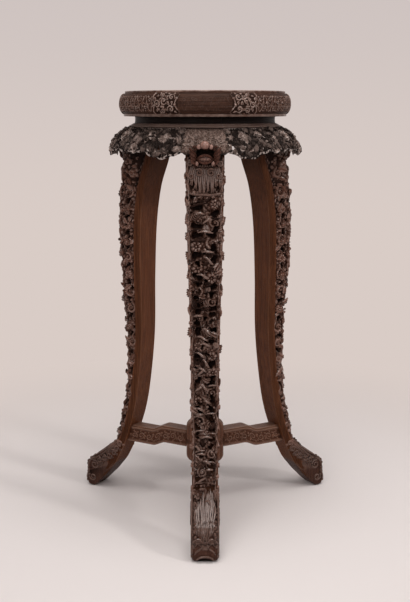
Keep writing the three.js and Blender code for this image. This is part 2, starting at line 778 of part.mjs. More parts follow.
function stretcherArm() {
  const step = (t) => armRise * (0.5 + 0.5 * Math.cos(Math.PI * t));
  const hump = (base, reach) => Array.from({ length: 6 }, (_, i) => {
    const t = i / 5;
    return [armStepInner + reach + (armStepOuter - armStepInner) * t, base + step(t)];
  });
  const legFace = [0, 0.5, 1].map((t) => {
    const height = armLegHeight + armHeight * t;
    return [innerAt(height) - fitGap * 1.4, height];
  });
  const outline = [
    [hubRadius / 2, armLegHeight + armRise],
    ...hump(armLegHeight, -armStepShift), ...legFace,
    ...hump(armLegHeight + armHeight, armStepShift / 4).reverse(),
    [hubRadius / 2, armLegHeight + armRise + armHeight],
  ];
  const shape = new THREE.Shape(outline.map(([r, z]) => new THREE.Vector2(r, z)));
  const body = toSolid(new THREE.ExtrudeGeometry(shape, { depth: armWidth, bevelEnabled: false })
    .translate(0, 0, -armWidth / 2).rotateX(Math.PI / 2));
  const hubFace = toSolid(new THREE.CylinderGeometry(hubRadius + fitGap, hubRadius + fitGap, standHeight, 48)
    .rotateX(Math.PI / 2).translate(0, 0, standHeight / 2));
  return body.subtract(hubFace).add(armTenon(0)).add(hubTenon(0));
}

function stretcherHub() {
  const round = (centre, from, to) => Array.from({ length: 3 }, (_, i) => {
    const turn = radians(from + ((to - from) * i) / 2);
    return [hubRadius - hubRound + hubRound * Math.cos(turn), centre + hubRound * Math.sin(turn)];
  });
  const profile = [
    [0, hubBottom - hubDome], [hubRound * 0.6, hubBottom - hubDome * 0.8],
    [hubRadius - hubRound * 1.3, hubBottom],
    ...round(hubBottom + hubRound, -90, 0), ...round(hubTop - hubRound, 0, 90),
    [hubRadius - hubRound * 1.3, hubTop + hubDome / 4], [0, hubTop + hubDome],
  ].map(([r, z]) => new THREE.Vector2(r, z));
  let solid = toSolid(new THREE.LatheGeometry(profile, 24).rotateX(Math.PI / 2));
  for (let i = 0; i < legCount; i += 1) {
    solid = solid.subtract(hubTenon(fitGap).rotate([0, 0, i * legSpan]));
  }
  return solid;
}

// Finishes
const finishes = {
  carved: { color: '#3a2a25', roughness: 0.5 },
  plain: { color: '#4b3226', roughness: 0.42 },
  hidden: { color: '#5a4132', roughness: 0.7 },
};

const stand = new THREE.Group();

function place(name, solid, finish, angle) {
  const { color, roughness } = finishes[finish];
  const material = new THREE.MeshStandardMaterial({ color, roughness, metalness: 0 });
  const mesh = new THREE.Mesh(toGeometry(solid), material);
  mesh.name = name;
  mesh.rotation.z = radians(angle);
  stand.add(mesh);
}

function placeRound(name, solid, finish) {
  for (let i = 0; i < legCount; i += 1) {
    place(`${name}_${i + 1}`, solid, finish, firstLegAngle + i * legSpan);
  }
}

// Batten tenons enter the rim lengths at fixed places, so the rim is cut after it is placed.
function rimAt(index) {
  const angle = firstLegAngle + index * legSpan;
  return [-1, 1].reduce((solid, side) => solid.subtract(
    battenTenons(fitGap).translate([(side * battenSpacing) / 2, 0, 0]).rotate([0, 0, -angle])), rimSegment());
}

place('top_panel', topPanel(), 'plain', 0);
[-1, 1].forEach((side, i) => {
  place(`panel_batten_${i + 1}`, batten(side).translate([(side * battenSpacing) / 2, 0, 0]), 'hidden', 0);
});
for (let i = 0; i < legCount; i += 1) {
  place(`rim_segment_${i + 1}`, rimAt(i), 'carved', firstLegAngle + i * legSpan);
}
placeRound('rim_key', wedgeKey(0).rotate([0, 0, legSpan / 2]), 'hidden');
placeRound('waist_segment', waistSegment(), 'plain');
placeRound('shoulder_moulding', shoulderSegment(), 'plain');
placeRound('apron', apron(), 'carved');
placeRound('leg', leg(), 'carved');
placeRound('stretcher_arm', stretcherArm(), 'plain');
place('stretcher_hub', stretcherHub(), 'plain', firstLegAngle);

stand.position.z = -standHeight;

export default stand;
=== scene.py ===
import math
import random
from math import cos, pi, radians, sin, sqrt

import bmesh
import bpy
from mathutils import Matrix, Vector, bvhtree, kdtree, noise


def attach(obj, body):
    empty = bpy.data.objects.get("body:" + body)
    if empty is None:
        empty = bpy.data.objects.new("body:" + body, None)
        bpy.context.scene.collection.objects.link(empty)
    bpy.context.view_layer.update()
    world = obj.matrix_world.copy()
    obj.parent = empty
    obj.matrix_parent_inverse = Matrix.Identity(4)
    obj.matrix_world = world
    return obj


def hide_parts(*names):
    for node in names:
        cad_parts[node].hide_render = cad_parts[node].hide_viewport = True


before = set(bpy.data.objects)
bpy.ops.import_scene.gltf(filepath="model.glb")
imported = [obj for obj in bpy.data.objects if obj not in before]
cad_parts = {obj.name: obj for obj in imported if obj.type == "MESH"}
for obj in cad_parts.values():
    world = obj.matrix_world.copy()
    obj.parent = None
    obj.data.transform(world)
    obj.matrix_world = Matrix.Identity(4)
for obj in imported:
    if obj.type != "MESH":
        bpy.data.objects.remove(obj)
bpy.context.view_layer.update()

# Top panel: one round board of dark hardwood whose face is flush with the frame round it. It
# floats in a groove of the frame, so that it can swell and shrink.
# Every piece is shaped in millimetres above the floor and then brought to the frame in metres.
stand_height = 900
leg_angles = (-90, 30, 150)
panel_radius = 119.7
panel_tongue = 127.7
tongue_top = 894.3
tongue_bottom = 889.5
smooth_angle = 42
golden_angle = 2.39996
millimetre = 0.001


def clamp(value, low=0.0, high=1.0):
    return max(low, min(high, value))


def shares(count):
    """Even shares from 0 to 1."""
    return [i / count for i in range(count + 1)]


def grid_of(bm, across, along):
    """A flat grid with x and y from -0.5 to 0.5, whose vertices are then laid along a form."""
    return bmesh.ops.create_grid(bm, x_segments=across, y_segments=along, size=0.5)["verts"]


def note_of(bm, name):
    """The layer that notes a number on each vertex, for the wood to read."""
    layers = bm.verts.layers.float
    return layers.get(name) or layers.new(name)


def turn_upright(bm, angle):
    """Turns a bmesh round the axis of the stand."""
    bmesh.ops.rotate(bm, verts=bm.verts, cent=(0, 0, 0), matrix=Matrix.Rotation(angle, 3, "Z"))


def fill_holes(bm):
    bmesh.ops.holes_fill(bm, edges=[edge for edge in bm.edges if edge.is_boundary], sides=0)


def close_ends(bm):
    """Fills every open end and turns all faces outwards."""
    fill_holes(bm)
    bmesh.ops.recalc_face_normals(bm, faces=bm.faces)


def spun(profile, steps, sweep=360, start=0, closed=False):
    """A bmesh turned from a profile of (radius, height) points round the upright axis."""
    bm = bmesh.new()
    turn = radians(start)
    verts = [bm.verts.new((r * cos(turn), r * sin(turn), z)) for r, z in profile]
    edges = [bm.edges.new(pair) for pair in zip(verts, verts[1:])]
    if closed:
        edges.append(bm.edges.new((verts[-1], verts[0])))
    bmesh.ops.spin(bm, geom=verts + edges, axis=(0, 0, 1), cent=(0, 0, 0), angle=radians(sweep),
                   steps=steps, use_merge=sweep == 360)
    bmesh.ops.remove_doubles(bm, verts=bm.verts, dist=0.005)
    close_ends(bm)
    return bm


def mark_crests(bm, gain=3.2):
    """Notes how proud each vertex stands, where crests are lightened: part polished wear, part painted
    highlight.
    """
    crest = note_of(bm, "crest")
    bm.normal_update()
    for vert in bm.verts:
        bend = 0.0
        for edge in vert.link_edges:
            step = vert.co - edge.other_vert(vert).co
            bend += vert.normal.dot(step) / max(step.length, 1e-5)
        vert[crest] = clamp(0.5 + bend * gain / max(len(vert.link_edges), 1))


def mark_hollow_shade(bm, reach, strength, rays=10, beside=()):
    """Notes how far its neighbours close each vertex in, for the painted shade that blackens the hollows."""
    ray_lift = 0.25
    open_share = 0.28
    recess = note_of(bm, "recess")
    bm.normal_update()
    trees = [bvhtree.BVHTree.FromBMesh(bm), *beside]
    fan = [(sqrt((k + 0.5) / rays), k * golden_angle) for k in range(rays)]
    for vert in bm.verts:
        if vert[recess] >= 0.99:
            continue
        turn = vert.normal.to_track_quat("Z", "Y")
        start = vert.co + vert.normal * ray_lift
        closed = 0.0
        for spread, angle in fan:
            way = turn @ Vector((spread * cos(angle), spread * sin(angle), sqrt(1 - spread * spread)))
            for tree in trees:
                distance = tree.ray_cast(start, way, reach)[3]
                if distance is not None:
                    closed += 1 - 0.6 * distance / reach
                    break
        vert[recess] = clamp(max(vert[recess], closed / rays * strength - open_share))


def object_of(name, data):
    """Puts a mesh, a lamp or a camera into the scene."""
    thing = bpy.data.objects.new(name, data)
    bpy.context.scene.collection.objects.link(thing)
    return thing


def mesh_of(name, bm):
    """Brings a bmesh from millimetres above the floor to the frame, and lets it go."""
    bmesh.ops.translate(bm, verts=bm.verts, vec=(0, 0, -stand_height))
    bmesh.ops.scale(bm, verts=bm.verts, vec=(millimetre, millimetre, millimetre))
    mesh = bpy.data.meshes.new(name)
    bm.to_mesh(mesh)
    bm.free()
    mesh.shade_smooth()
    return mesh


def make_piece(name, bm, material, node):
    """Makes a visible piece that stands for a CAD node."""
    mesh = mesh_of(name, bm)
    mesh.set_sharp_from_angle(angle=radians(smooth_angle))
    mesh.materials.append(material)
    piece = object_of(name, mesh)
    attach(piece, "root")
    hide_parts(node)


def make_round(name, bm, material, node):
    """Makes the three like pieces, one for each leg angle, from one that points along +X."""
    for i, angle in enumerate(leg_angles, 1):
        copy = bm.copy()
        turn_upright(copy, radians(angle))
        make_piece(f"{name}_{i}", copy, material, f"{node}_{i}")
    bm.free()


def plug(tree, node, values):
    """Gives sockets of a node, by name or number, a constant or the output of another node."""
    for key, value in values.items():
        if isinstance(value, bpy.types.NodeSocket):
            tree.links.new(value, node.inputs[key])
        else:
            node.inputs[key].default_value = value


def node_of(tree, kind, **settings):
    node = tree.nodes.new(kind)
    for key, value in settings.items():
        if key in node.inputs:
            plug(tree, node, {key: value})
        else:
            setattr(node, key, value)
    return node


def math_of(tree, operation, a, b=0.0, c=0.0, limit=False):
    node = node_of(tree, "ShaderNodeMath", operation=operation, use_clamp=limit)
    plug(tree, node, {0: a, 1: b, 2: c})
    return node.outputs[0]


def blend_of(tree, factor, a, b):
    node = node_of(tree, "ShaderNodeMix", data_type="RGBA", blend_type="MIX")
    plug(tree, node, {0: factor, 6: a, 7: b})
    return node.outputs[2]


def smooth_of(tree, value, low, high):
    """Runs smoothly from 0 at the low value to 1 at the high one."""
    node = node_of(tree, "ShaderNodeMapRange", interpolation_type="SMOOTHSTEP")
    plug(tree, node, {"From Min": low, "From Max": high, "Value": value})
    return node.outputs[0]


def place_of(tree):
    return node_of(tree, "ShaderNodeTexCoord").outputs["Object"]


def radius_of(tree, parts):
    """Distance from the axis of the stand."""
    square = math_of(tree, "MULTIPLY", parts[1], parts[1])
    return math_of(tree, "SQRT", math_of(tree, "MULTIPLY_ADD", parts[0], parts[0], square))


def new_group(name, inputs, outputs):
    """An empty node group, with its tree's own input node."""
    group = bpy.data.node_groups.new(name, "ShaderNodeTree")
    for label, kind, value in inputs:
        socket = group.interface.new_socket(name=label, in_out="INPUT", socket_type=kind)
        socket.default_value = value
    for label in outputs:
        group.interface.new_socket(name=label, in_out="OUTPUT", socket_type="NodeSocketFloat")
    return group, group.nodes.new("NodeGroupInput").outputs


def close_group(tree, values):
    plug(tree, tree.nodes.new("NodeGroupOutput"), dict(enumerate(values)))


def shade(red, green, blue):
    """A colour written as it looks, 0 to 255, turned into the linear values that sockets take."""
    return tuple((part / 255 / 12.92) if part < 10.3 else ((part / 255 + 0.055) / 1.055) ** 2.4
                 for part in (red, green, blue)) + (1.0,)


# The grain is read along the piece: straight along an axis, or round the stand on a bent piece.
mean_bend_radius = 0.16
grain_group, given = new_group(
    "wood grain",
    [("Round", "NodeSocketFloat", 0.0), ("Stretch", "NodeSocketVector", (320, 320, 9))],
    ["Figure", "Pores", "Patches"])
place = place_of(grain_group)
parts = node_of(grain_group, "ShaderNodeSeparateXYZ", Vector=place).outputs
arc = math_of(grain_group, "MULTIPLY", math_of(grain_group, "ARCTAN2", parts[1], parts[0]), mean_bend_radius)
bent_place = node_of(grain_group, "ShaderNodeCombineXYZ", X=radius_of(grain_group, parts), Y=arc, Z=parts[2])
choice = node_of(grain_group, "ShaderNodeMix", data_type="VECTOR")
plug(grain_group, choice, {0: given["Round"], 4: place, 5: bent_place.outputs[0]})
scaled = node_of(grain_group, "ShaderNodeVectorMath", operation="MULTIPLY")
plug(grain_group, scaled, {0: choice.outputs[1], 1: given["Stretch"]})
along_grain = scaled.outputs[0]
close_group(grain_group, [
    smooth_of(grain_group, node_of(grain_group, "ShaderNodeTexNoise", **settings).outputs["Fac"], low, high)
    for settings, low, high in (
        (dict(Vector=along_grain, Scale=1.0, Detail=5.0, Roughness=0.6, Distortion=0.4), 0.33, 0.68),
        (dict(Vector=along_grain, Scale=4.2, Detail=2.0, Roughness=0.5), 0.56, 0.7),
        (dict(Vector=place, Scale=26.0, Detail=3.0, Roughness=0.6), 0.35, 0.65))])

# Wear and painted light: crests rubbed grey by dusting and lit with a painted highlight, recesses and
# creases black as painted shade, and dust with painted light from above on upward faces.
wear_and_light_group, given = new_group("crests and recesses", [("Patches", "NodeSocketFloat", 0.5)],
                              ["Crest", "Recess", "DustAndTopLight"])
crest_note = node_of(wear_and_light_group, "ShaderNodeAttribute", attribute_name="crest").outputs["Fac"]
deep_note = node_of(wear_and_light_group, "ShaderNodeAttribute", attribute_name="recess").outputs["Fac"]
proud = math_of(wear_and_light_group, "MULTIPLY_ADD", crest_note, 2.4, -1.28, limit=True)
hollow = math_of(wear_and_light_group, "MULTIPLY_ADD", crest_note, -2.6, 1.1, limit=True)
hollow = math_of(wear_and_light_group, "MULTIPLY", hollow, math_of(wear_and_light_group, "GREATER_THAN", crest_note, 0.001))
fine = node_of(wear_and_light_group, "ShaderNodeTexNoise", Vector=place_of(wear_and_light_group), Scale=420.0, Detail=3.0,
               Roughness=0.65)
uneven = math_of(wear_and_light_group, "MULTIPLY_ADD", fine.outputs["Fac"], 1.1, 0.15, limit=True)
open_face = math_of(wear_and_light_group, "SUBTRACT", 1.0, deep_note, limit=True)
facing = node_of(wear_and_light_group, "ShaderNodeSeparateXYZ",
                 Vector=node_of(wear_and_light_group, "ShaderNodeNewGeometry").outputs["Normal"])
upward = math_of(wear_and_light_group, "MULTIPLY_ADD", facing.outputs[2], 1.5, -0.45, limit=True)
close_group(wear_and_light_group, (
    math_of(wear_and_light_group, "MULTIPLY", math_of(wear_and_light_group, "MULTIPLY", proud, uneven), open_face),
    math_of(wear_and_light_group, "MAXIMUM", deep_note, math_of(wear_and_light_group, "MULTIPLY", hollow, 0.75), limit=True),
    math_of(wear_and_light_group, "MULTIPLY", math_of(wear_and_light_group, "MULTIPLY", upward, open_face),
            math_of(wear_and_light_group, "MULTIPLY_ADD", given["Patches"], 0.6, 0.4))))


def wood(name, tones, stretch, crest_share, dust_and_top_light_share, roughness, grain_bump,
         bent=0, shine=0.5, chisel=0.0, side_light_tone=None):
    """Oiled and waxed dark hardwood, with grain along the piece, and where it is carved, lighter crests
    (part wear, part painted highlight) and black recesses (painted shade).

    The tones are the dark and the light of the grain, the rubbed and highlighted crests (also for dust
    and painted light from above), and the recesses (also for the pores, and for painted shade)."""
    material = bpy.data.materials.new(name)
    material.use_nodes = True
    tree = material.node_tree
    dark, light, crest, recess = (shade(*tone) for tone in tones)
    grain = node_of(tree, "ShaderNodeGroup", node_tree=grain_group, Round=bent, Stretch=stretch).outputs
    wear_and_light = node_of(tree, "ShaderNodeGroup", node_tree=wear_and_light_group, Patches=grain["Patches"]).outputs
    layers = [(grain["Pores"], 0.55, recess), (grain["Patches"], 0.35, dark)]
    # The side tone paints light on the sides of a leg.
    if side_light_tone:
        beside = node_of(tree, "ShaderNodeAttribute", attribute_name="beside").outputs["Fac"]
        layers.append((beside, 0.62, shade(*side_light_tone)))
    # Crest tone over dust and painted top light and over painted highlights; recess tone as painted shade.
    layers += [(wear_and_light["DustAndTopLight"], dust_and_top_light_share, crest), (wear_and_light["Crest"], crest_share, crest),
               (math_of(tree, "POWER", wear_and_light["Recess"], 1.35), 0.96, recess)]
    body = blend_of(tree, grain["Figure"], dark, light)
    for mask, amount, tone in layers:
        body = blend_of(tree, math_of(tree, "MULTIPLY", mask, amount), body, tone)
    dull = math_of(tree, "MULTIPLY_ADD", wear_and_light["Recess"], 0.3, roughness)
    dull = math_of(tree, "MULTIPLY_ADD", grain["Figure"], 0.08, dull, limit=True)
    height = math_of(tree, "MULTIPLY_ADD", grain["Pores"], -0.8, grain["Figure"])
    relief = node_of(tree, "ShaderNodeBump", Strength=grain_bump, Distance=0.0004, Height=height)
    if chisel:
        marks = node_of(tree, "ShaderNodeTexNoise", Vector=place_of(tree), Scale=330.0, Detail=3.0,
                        Roughness=0.55, Distortion=0.8)
        cuts = node_of(tree, "ShaderNodeBump", Strength=chisel, Distance=0.0016, Height=marks.outputs["Fac"])
        plug(tree, relief, {"Normal": cuts.outputs[0]})
    plug(tree, tree.nodes["Principled BSDF"], {
        "Base Color": body, "Roughness": dull, "Normal": relief.outputs[0], "Specular IOR Level": 0.06,
        "Coat Weight": math_of(tree, "MULTIPLY_ADD", wear_and_light["Crest"], shine, 0.01, limit=True),
        "Coat Roughness": 0.2})
    return material


panel_wood = wood("panel wood", ((42, 26, 20), (68, 44, 34), (100, 80, 72), (16, 9, 7)), (520, 12, 520),
                  crest_share=0.4, dust_and_top_light_share=0.25, roughness=0.34, grain_bump=0.5)
panel = spun([(0, tongue_bottom), (panel_tongue, tongue_bottom), (panel_tongue, tongue_top),
              (panel_radius, tongue_top), (panel_radius, stand_height - 0.6),
              (panel_radius - 0.5, stand_height), (panel_radius * 0.5, stand_height), (0, stand_height)], 180)
make_piece("top_panel_board", panel, panel_wood, "top_panel")

# Battens and wedge keys: two bars dovetailed across the underside of the panel, and a hidden
# wedge that locks each joint of the frame. They are left plain, so the CAD forms stay.
inner_wood = wood("unpolished wood", ((60, 42, 33), (92, 67, 52), (110, 90, 78), (30, 20, 15)),
                  (420, 14, 420), crest_share=0.3, dust_and_top_light_share=0.3, roughness=0.6, grain_bump=0.7)
for name in ("panel_batten_1", "panel_batten_2", "rim_key_1", "rim_key_2", "rim_key_3"):
    for material_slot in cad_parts[name].material_slots:
        material_slot.material = inner_wood

# Frame of the top: three bent lengths of hardwood, half lapped and keyed at their ends. The bulging
# band is carved all round with scrollwork in shallow panels, between two plain fillets.
rim_inner = 112
rim_groove = 128
groove_top = 894.6
groove_bottom = 889.2
panel_gap_radius = panel_radius + 0.3
rim_fillet = 165
rim_band_foot = 165.75
rim_lower_fillet = 168
rim_band = 178
rim_bottom = 849.5
band_bottom = 855
band_top = 894
band_middle = (band_top + band_bottom) / 2
band_half = (band_top - band_bottom) / 2
lap_height = 869.4
lap_inner = 50.95
lap_outer = 68.95
carve_depth = 2.4
band_reach = rim_band - carve_depth - rim_band_foot
band_girth = 50
rim_arc = 170
rim_steps = 420


def around(x, y, reach, angle):
    """The place at a distance and an angle from another one."""
    return x + reach * cos(angle), y + reach * sin(angle)


def curve_through(points, steps):
    """Points on a smooth curve through the given ones, whatever number of values each carries."""
    out = []
    last = len(points) - 1
    for i in range(last):
        a, b, c, d = (Vector(points[min(max(i + k, 0), last)]) for k in (-1, 0, 1, 2))
        for j in range(steps):
            t = j / steps
            out.append((b * 2 + (c - a) * t + (a * 2 - b * 5 + c * 4 - d) * t ** 2
                        + (b * 3 - a - c * 3 + d) * t ** 3) / 2)
    out.append(Vector(points[-1]))
    return out


def evenly(path, step):
    """The same path with its points a set step apart."""
    out = [path[0]]
    for a, b in zip(path, path[1:]):
        count = max(1, math.ceil((b - a).length / step))
        out.extend(a.lerp(b, k / count) for k in range(1, count + 1))
    return out


def raised_line(path, width, height, taper=0.5):
    """A raised line for a relief: (u, v, half width, height) points, thinner at both ends."""
    points = evenly([Vector(p) for p in path], 0.7)
    last = max(len(points) - 1, 1)
    out = []
    for i, p in enumerate(points):
        swell = taper + (1 - taper) * sin(pi * i / last)
        out.append((p.x, p.y, max(width * swell, 0.7), height * (0.6 + 0.4 * swell)))
    return out


def spiral_path(u, v, radius, turns, hand, start):
    steps = int(14 * turns)
    return [around(u, v, radius * (1 - 0.86 * i / steps), start + hand * 2 * pi * turns * i / steps)
            for i in range(steps + 1)]


def leaf_lines(u, v, length, angle, width, height):
    """A pointed leaf for a relief: one swelling line and its two side lobes."""
    lines = []
    for turn, share in ((0, 1.0), (0.75, 0.62), (-0.75, 0.62)):
        reach = length * share
        path = [(u, v), around(u, v, reach * 0.55, angle + turn * 0.8),
                around(u, v, reach, angle + turn * 0.55)]
        lines.append(raised_line(curve_through(path, 5), width * share, height, 0.2))
    return lines


def leaf_ring(u, v, reach, side, start, count, length, width, height):
    """Leaves that point outwards all round a place, on either half of a mirrored drawing."""
    lines = []
    for k in range(count):
        angle = k * 2 * pi / count + start
        a, b = around(u, v, reach, angle)
        lines += leaf_lines(side * a, b, length, angle if side > 0 else pi - angle, width, height)
    return lines


def scroll_vine(u_from, u_to, v_middle, wave, swing, thick, height, rng):
    """A running scroll: a winding stem that throws a coil and leaves into each bend."""
    lines = []
    count = max(2, round((u_to - u_from) / wave) * 2)
    step = (u_to - u_from) / count
    stem = [(u_from + step * i / 8, v_middle + swing * sin(pi * i / 8)) for i in range(count * 8 + 1)]
    lines.append(raised_line(stem, thick, height, 0.9))
    for i in range(count):
        side = 1 if i % 2 == 0 else -1
        u = u_from + step * (i + 0.5)
        coil_v = v_middle - side * swing * 0.35
        coil = min(step * 0.44, swing * 0.95)
        spiral = spiral_path(u, coil_v, coil, 1.35, side, side * pi * 0.42)
        lines.append(raised_line(spiral, thick * 0.9, height))
        lines.append([(u, coil_v, thick * 1.5, height * 1.25)])
        for k in range(6):
            angle = k * pi / 3 + rng.uniform(-0.3, 0.3)
            lines += leaf_lines(*around(u, coil_v, coil + rng.uniform(0.2, 1.2), angle), step * 0.3,
                                angle + side * 0.9, thick * 1.2, height * 0.9)
        for edge in (-1, 1):
            lines += leaf_lines(u + step * 0.5, v_middle + edge * swing * 0.75, step * 0.34,
                                edge * pi / 2 + rng.uniform(-0.8, 0.8), thick * 1.1, height * 0.8)
    return lines


def relief_of(lines):
    """Reads the raised lines of a carving as one height over the surface."""
    points = [point for line in lines for point in line]
    tree = kdtree.KDTree(len(points))
    for i, point in enumerate(points):
        tree.insert((point[0], point[1], 0), i)
    tree.balance()
    reach = max(point[2] for point in points)

    def height_at(u, v):
        best = 0.0
        for _, i, distance in tree.find_range((u, v, 0), reach):
            _, _, half, height = points[i]
            if distance < half:
                best = max(best, height * sqrt(1 - (distance / half) ** 2))
        return best

    return height_at


# Drawn flat: u along the rim from the middle of a leg, v down its girth. Each bracket-shaped block
# beside a leg has six coils (u, v, radius, hand, start), and running scrolls fill what is left.
rim_random = random.Random(11)
leg_panel = radians(17.5) * rim_arc
bracket_end = radians(34) * rim_arc
mid_span = radians(60) * rim_arc
rim_end = radians(lap_outer) * rim_arc
bracket_coils = ((12, 14, 6.5, 1, 0.4), (14, 34, 7, -1, 2.6), (28, 21, 6.5, -1, 0.2),
                 (31, 37, 6, 1, 3.4), (33, 10, 5.5, 1, 1.5), (42, 26, 6.5, -1, 4.0))
bracket_border = ((0, 5), (-3.5, 9), (-1, 14), (3.2, 19), (5, 25), (3.2, 31), (-1, 36), (-3.5, 41), (0, 45))
bracket_far_border = ((0, 3), (3, 14), (-2, 25), (3, 36), (0, 47))
rim_lines = []
for side in (-1, 1):
    border = [(side * (leg_panel + u), v) for u, v in bracket_border]
    rim_lines.append(raised_line(curve_through(border, 4), 1.2, 1.9, 1))
    for u, v, r, hand, start in bracket_coils:
        centre = leg_panel + u
        rim_lines.append(raised_line(spiral_path(side * centre, v, r, 1.25, side * hand, start), 1.7, 2.4))
        rim_lines.append([(side * centre, v, 2.0, 2.4)])
        rim_lines += leaf_ring(centre, v, r + 1, side, start, 5, 5.5, 1.9, 2.2)
    border = [(side * (bracket_end + u), v) for u, v in bracket_far_border]
    rim_lines.append(raised_line(curve_through(border, 5), 1.2, 2.0, 1))
rim_lines += scroll_vine(-leg_panel + 7, leg_panel - 7, 25, 25, 12, 0.95, 0.45, rim_random)
for side in (-1, 1):
    for u_from, u_to, rng in ((bracket_end + 5, mid_span, rim_random),
                              (mid_span, 2 * mid_span - bracket_end - 5, random.Random(12))):
        vine = scroll_vine(u_from, u_to, 25, 27, 13.5, 1.15, 1.7, rng)
        rim_lines += [[(side * u, v, r, z) for u, v, r, z in line]
                      for line in vine if line[0][0] < rim_end + 9]
bead_count = int(rim_end / 0.8) + 2
for v in (1.2, 48.8):
    rim_lines.append([(u * 0.8, v, 1.3, 1.9) for u in range(-bead_count, bead_count + 1)])
rim_height = relief_of(rim_lines)


def band_point(t):
    """A point of the band's half ellipse, with t from 0 at its top to 1 at its foot."""
    turn = pi / 2 - pi * t
    return rim_band_foot + band_reach * cos(turn), band_middle + band_half * sin(turn)


# The flat top has close points at its two edges, so that their wear doesn't spread over it.
lap_turn = 0.5 - math.asin((lap_height - band_middle) / band_half) / pi
upper_band = [band_point(lap_turn * (1 - t)) for t in shares(34)]
lower_band = [band_point(1 - (1 - lap_turn) * t) for t in shares(26)]
upper_profile = [(rim_inner, lap_height)] + upper_band + [
    (rim_fillet, band_top), (rim_fillet, stand_height - 0.8), (rim_fillet - 0.7, stand_height),
    (rim_fillet - 1.8, stand_height), (rim_fillet - 3, stand_height), (panel_radius + 3, stand_height),
    (panel_radius + 1.8, stand_height), (panel_radius + 0.8, stand_height),
    (panel_gap_radius, stand_height - 0.6), (panel_gap_radius, groove_top), (rim_groove, groove_top),
    (rim_groove, groove_bottom), (rim_inner, groove_bottom)]
lower_profile = [
    (rim_inner, rim_bottom), (rim_lower_fillet - 0.7, rim_bottom), (rim_lower_fillet, rim_bottom + 0.7),
    (rim_lower_fillet, band_bottom - 0.7), (rim_lower_fillet - 0.7, band_bottom)] + lower_band + [
    (rim_inner, lap_height)]


def add_part(bm, part):
    """Adds another bmesh to this one and lets it go."""
    mesh = bpy.data.meshes.new("part")
    bmesh.ops.recalc_face_normals(part, faces=part.faces)
    part.to_mesh(mesh)
    part.free()
    bm.from_mesh(mesh)
    bpy.data.meshes.remove(mesh)


def rim_shadow(place, height):
    """How black a point of the band stays: the panel over a leg evenly, the others in their ground."""
    if place < leg_panel:
        return 0.6
    if place < bracket_end:
        return clamp(0.85 - height / 1.5)
    return clamp(0.6 - height / 1.7)


rim = bmesh.new()
for profile, from_angle, to_angle in ((upper_profile, -lap_outer, lap_inner),
                                      (lower_profile, -lap_inner, lap_outer)):
    half = spun(profile, rim_steps, to_angle - from_angle, from_angle, closed=True)
    recess = note_of(half, "recess")
    for vert in half.verts:
        radius = math.hypot(vert.co.x, vert.co.y)
        across = (radius - rim_band_foot) / band_reach
        along = (vert.co.z - band_middle) / band_half
        if radius < rim_band_foot - 0.2 or abs(across ** 2 + along ** 2 - 1) > 0.02:
            continue
        angle = math.atan2(vert.co.y, vert.co.x)
        v = (0.5 - math.atan2(along, across) / pi) * band_girth
        height = rim_height(angle * rim_arc, v) * clamp(min(v, band_girth - v) / 2)
        vert[recess] = rim_shadow(abs(angle * rim_arc), height)
        bulge = max(across, 0.15)
        vert.co += Vector((cos(angle) * bulge, sin(angle) * bulge, along * 0.5)).normalized() * height
    add_part(rim, half)
mark_crests(rim, 3.0)
crest = note_of(rim, "crest")
recess = note_of(rim, "recess")
# Painted highlights on the crests break into uneven spots and dim away from the brackets; the lower fillet,
# under the band, gets painted shade and dimmer highlights.
for vert in rim.verts:
    place = abs(math.atan2(vert.co.y, vert.co.x) * rim_arc)
    vert[crest] *= 0.94 + 0.3 * noise.noise(vert.co / 8)
    if vert.co.z < band_bottom + 1:
        vert[crest] *= 0.8
        vert[recess] = 0.2
    elif not leg_panel - 3 < place < bracket_end + 3:
        vert[crest] *= 0.84
rim_wood = wood("carved rim wood", ((58, 36, 28), (90, 62, 50), (166, 144, 134), (12, 4, 1)), (420, 11, 420),
                crest_share=0.7, dust_and_top_light_share=0.1, roughness=0.28, grain_bump=0.4, bent=1, shine=1.1,
                chisel=0.5)
make_round("carved_rim", rim, rim_wood, "rim_segment")

# Waist and shoulder: two thin rings of hardwood, each in three lengths that butt beside the legs.
# The waist is a plain recessed band, and the shoulder under it is an ogee moulding that widens to
# the carved apron, with a hidden collar behind the apron's top.
waist_radius = 145.5
waist_inner = 136
waist_top = 849.2
waist_bottom = 836.2
shoulder_radius = 157
shoulder_top = 835.9
shoulder_bottom = 828.4
collar_inner = 148
collar_foot = 813
ring_joint = 13.06
ring_sweep = 119.88
ring_steps = 150
waist = spun([(waist_inner, waist_bottom), (waist_radius, waist_bottom), (waist_radius, waist_bottom + 2),
              (waist_radius - 0.8, waist_bottom + 2.6), (waist_radius - 0.8, waist_top - 1.8),
              (waist_radius, waist_top - 1.2), (waist_radius, waist_top), (waist_inner, waist_top)],
             ring_steps, ring_sweep, ring_joint, closed=True)
# The waist's wood is nearly black: painted shade under the overhang of the top.
shaded_waist_wood = wood("waist wood in painted shade", ((16, 9, 7), (26, 16, 13), (60, 46, 40), (6, 3, 2)), (420, 10, 420),
                  crest_share=0.3, dust_and_top_light_share=0.1, roughness=0.4, grain_bump=0.5, bent=1, shine=0.2)
make_round("waist_band", waist, shaded_waist_wood, "waist_segment")
ogee = [(shoulder_radius - (shoulder_radius - waist_radius) * t,
         shoulder_bottom + 7.5 * (0.35 + 0.62 * (0.5 - 0.5 * cos(pi * t)))) for t in shares(12)]
shoulder = spun([(waist_inner, shoulder_bottom), (collar_inner, shoulder_bottom), (collar_inner, collar_foot),
                 (shoulder_radius - 1.4, collar_foot), (shoulder_radius - 1.2, shoulder_bottom),
                 (shoulder_radius - 0.2, shoulder_bottom + 0.5), (shoulder_radius, shoulder_bottom + 1.4)]
                + ogee + [(waist_radius, shoulder_top), (waist_inner, shoulder_top)],
                ring_steps, ring_sweep, ring_joint, closed=True)
mark_crests(shoulder, 3)
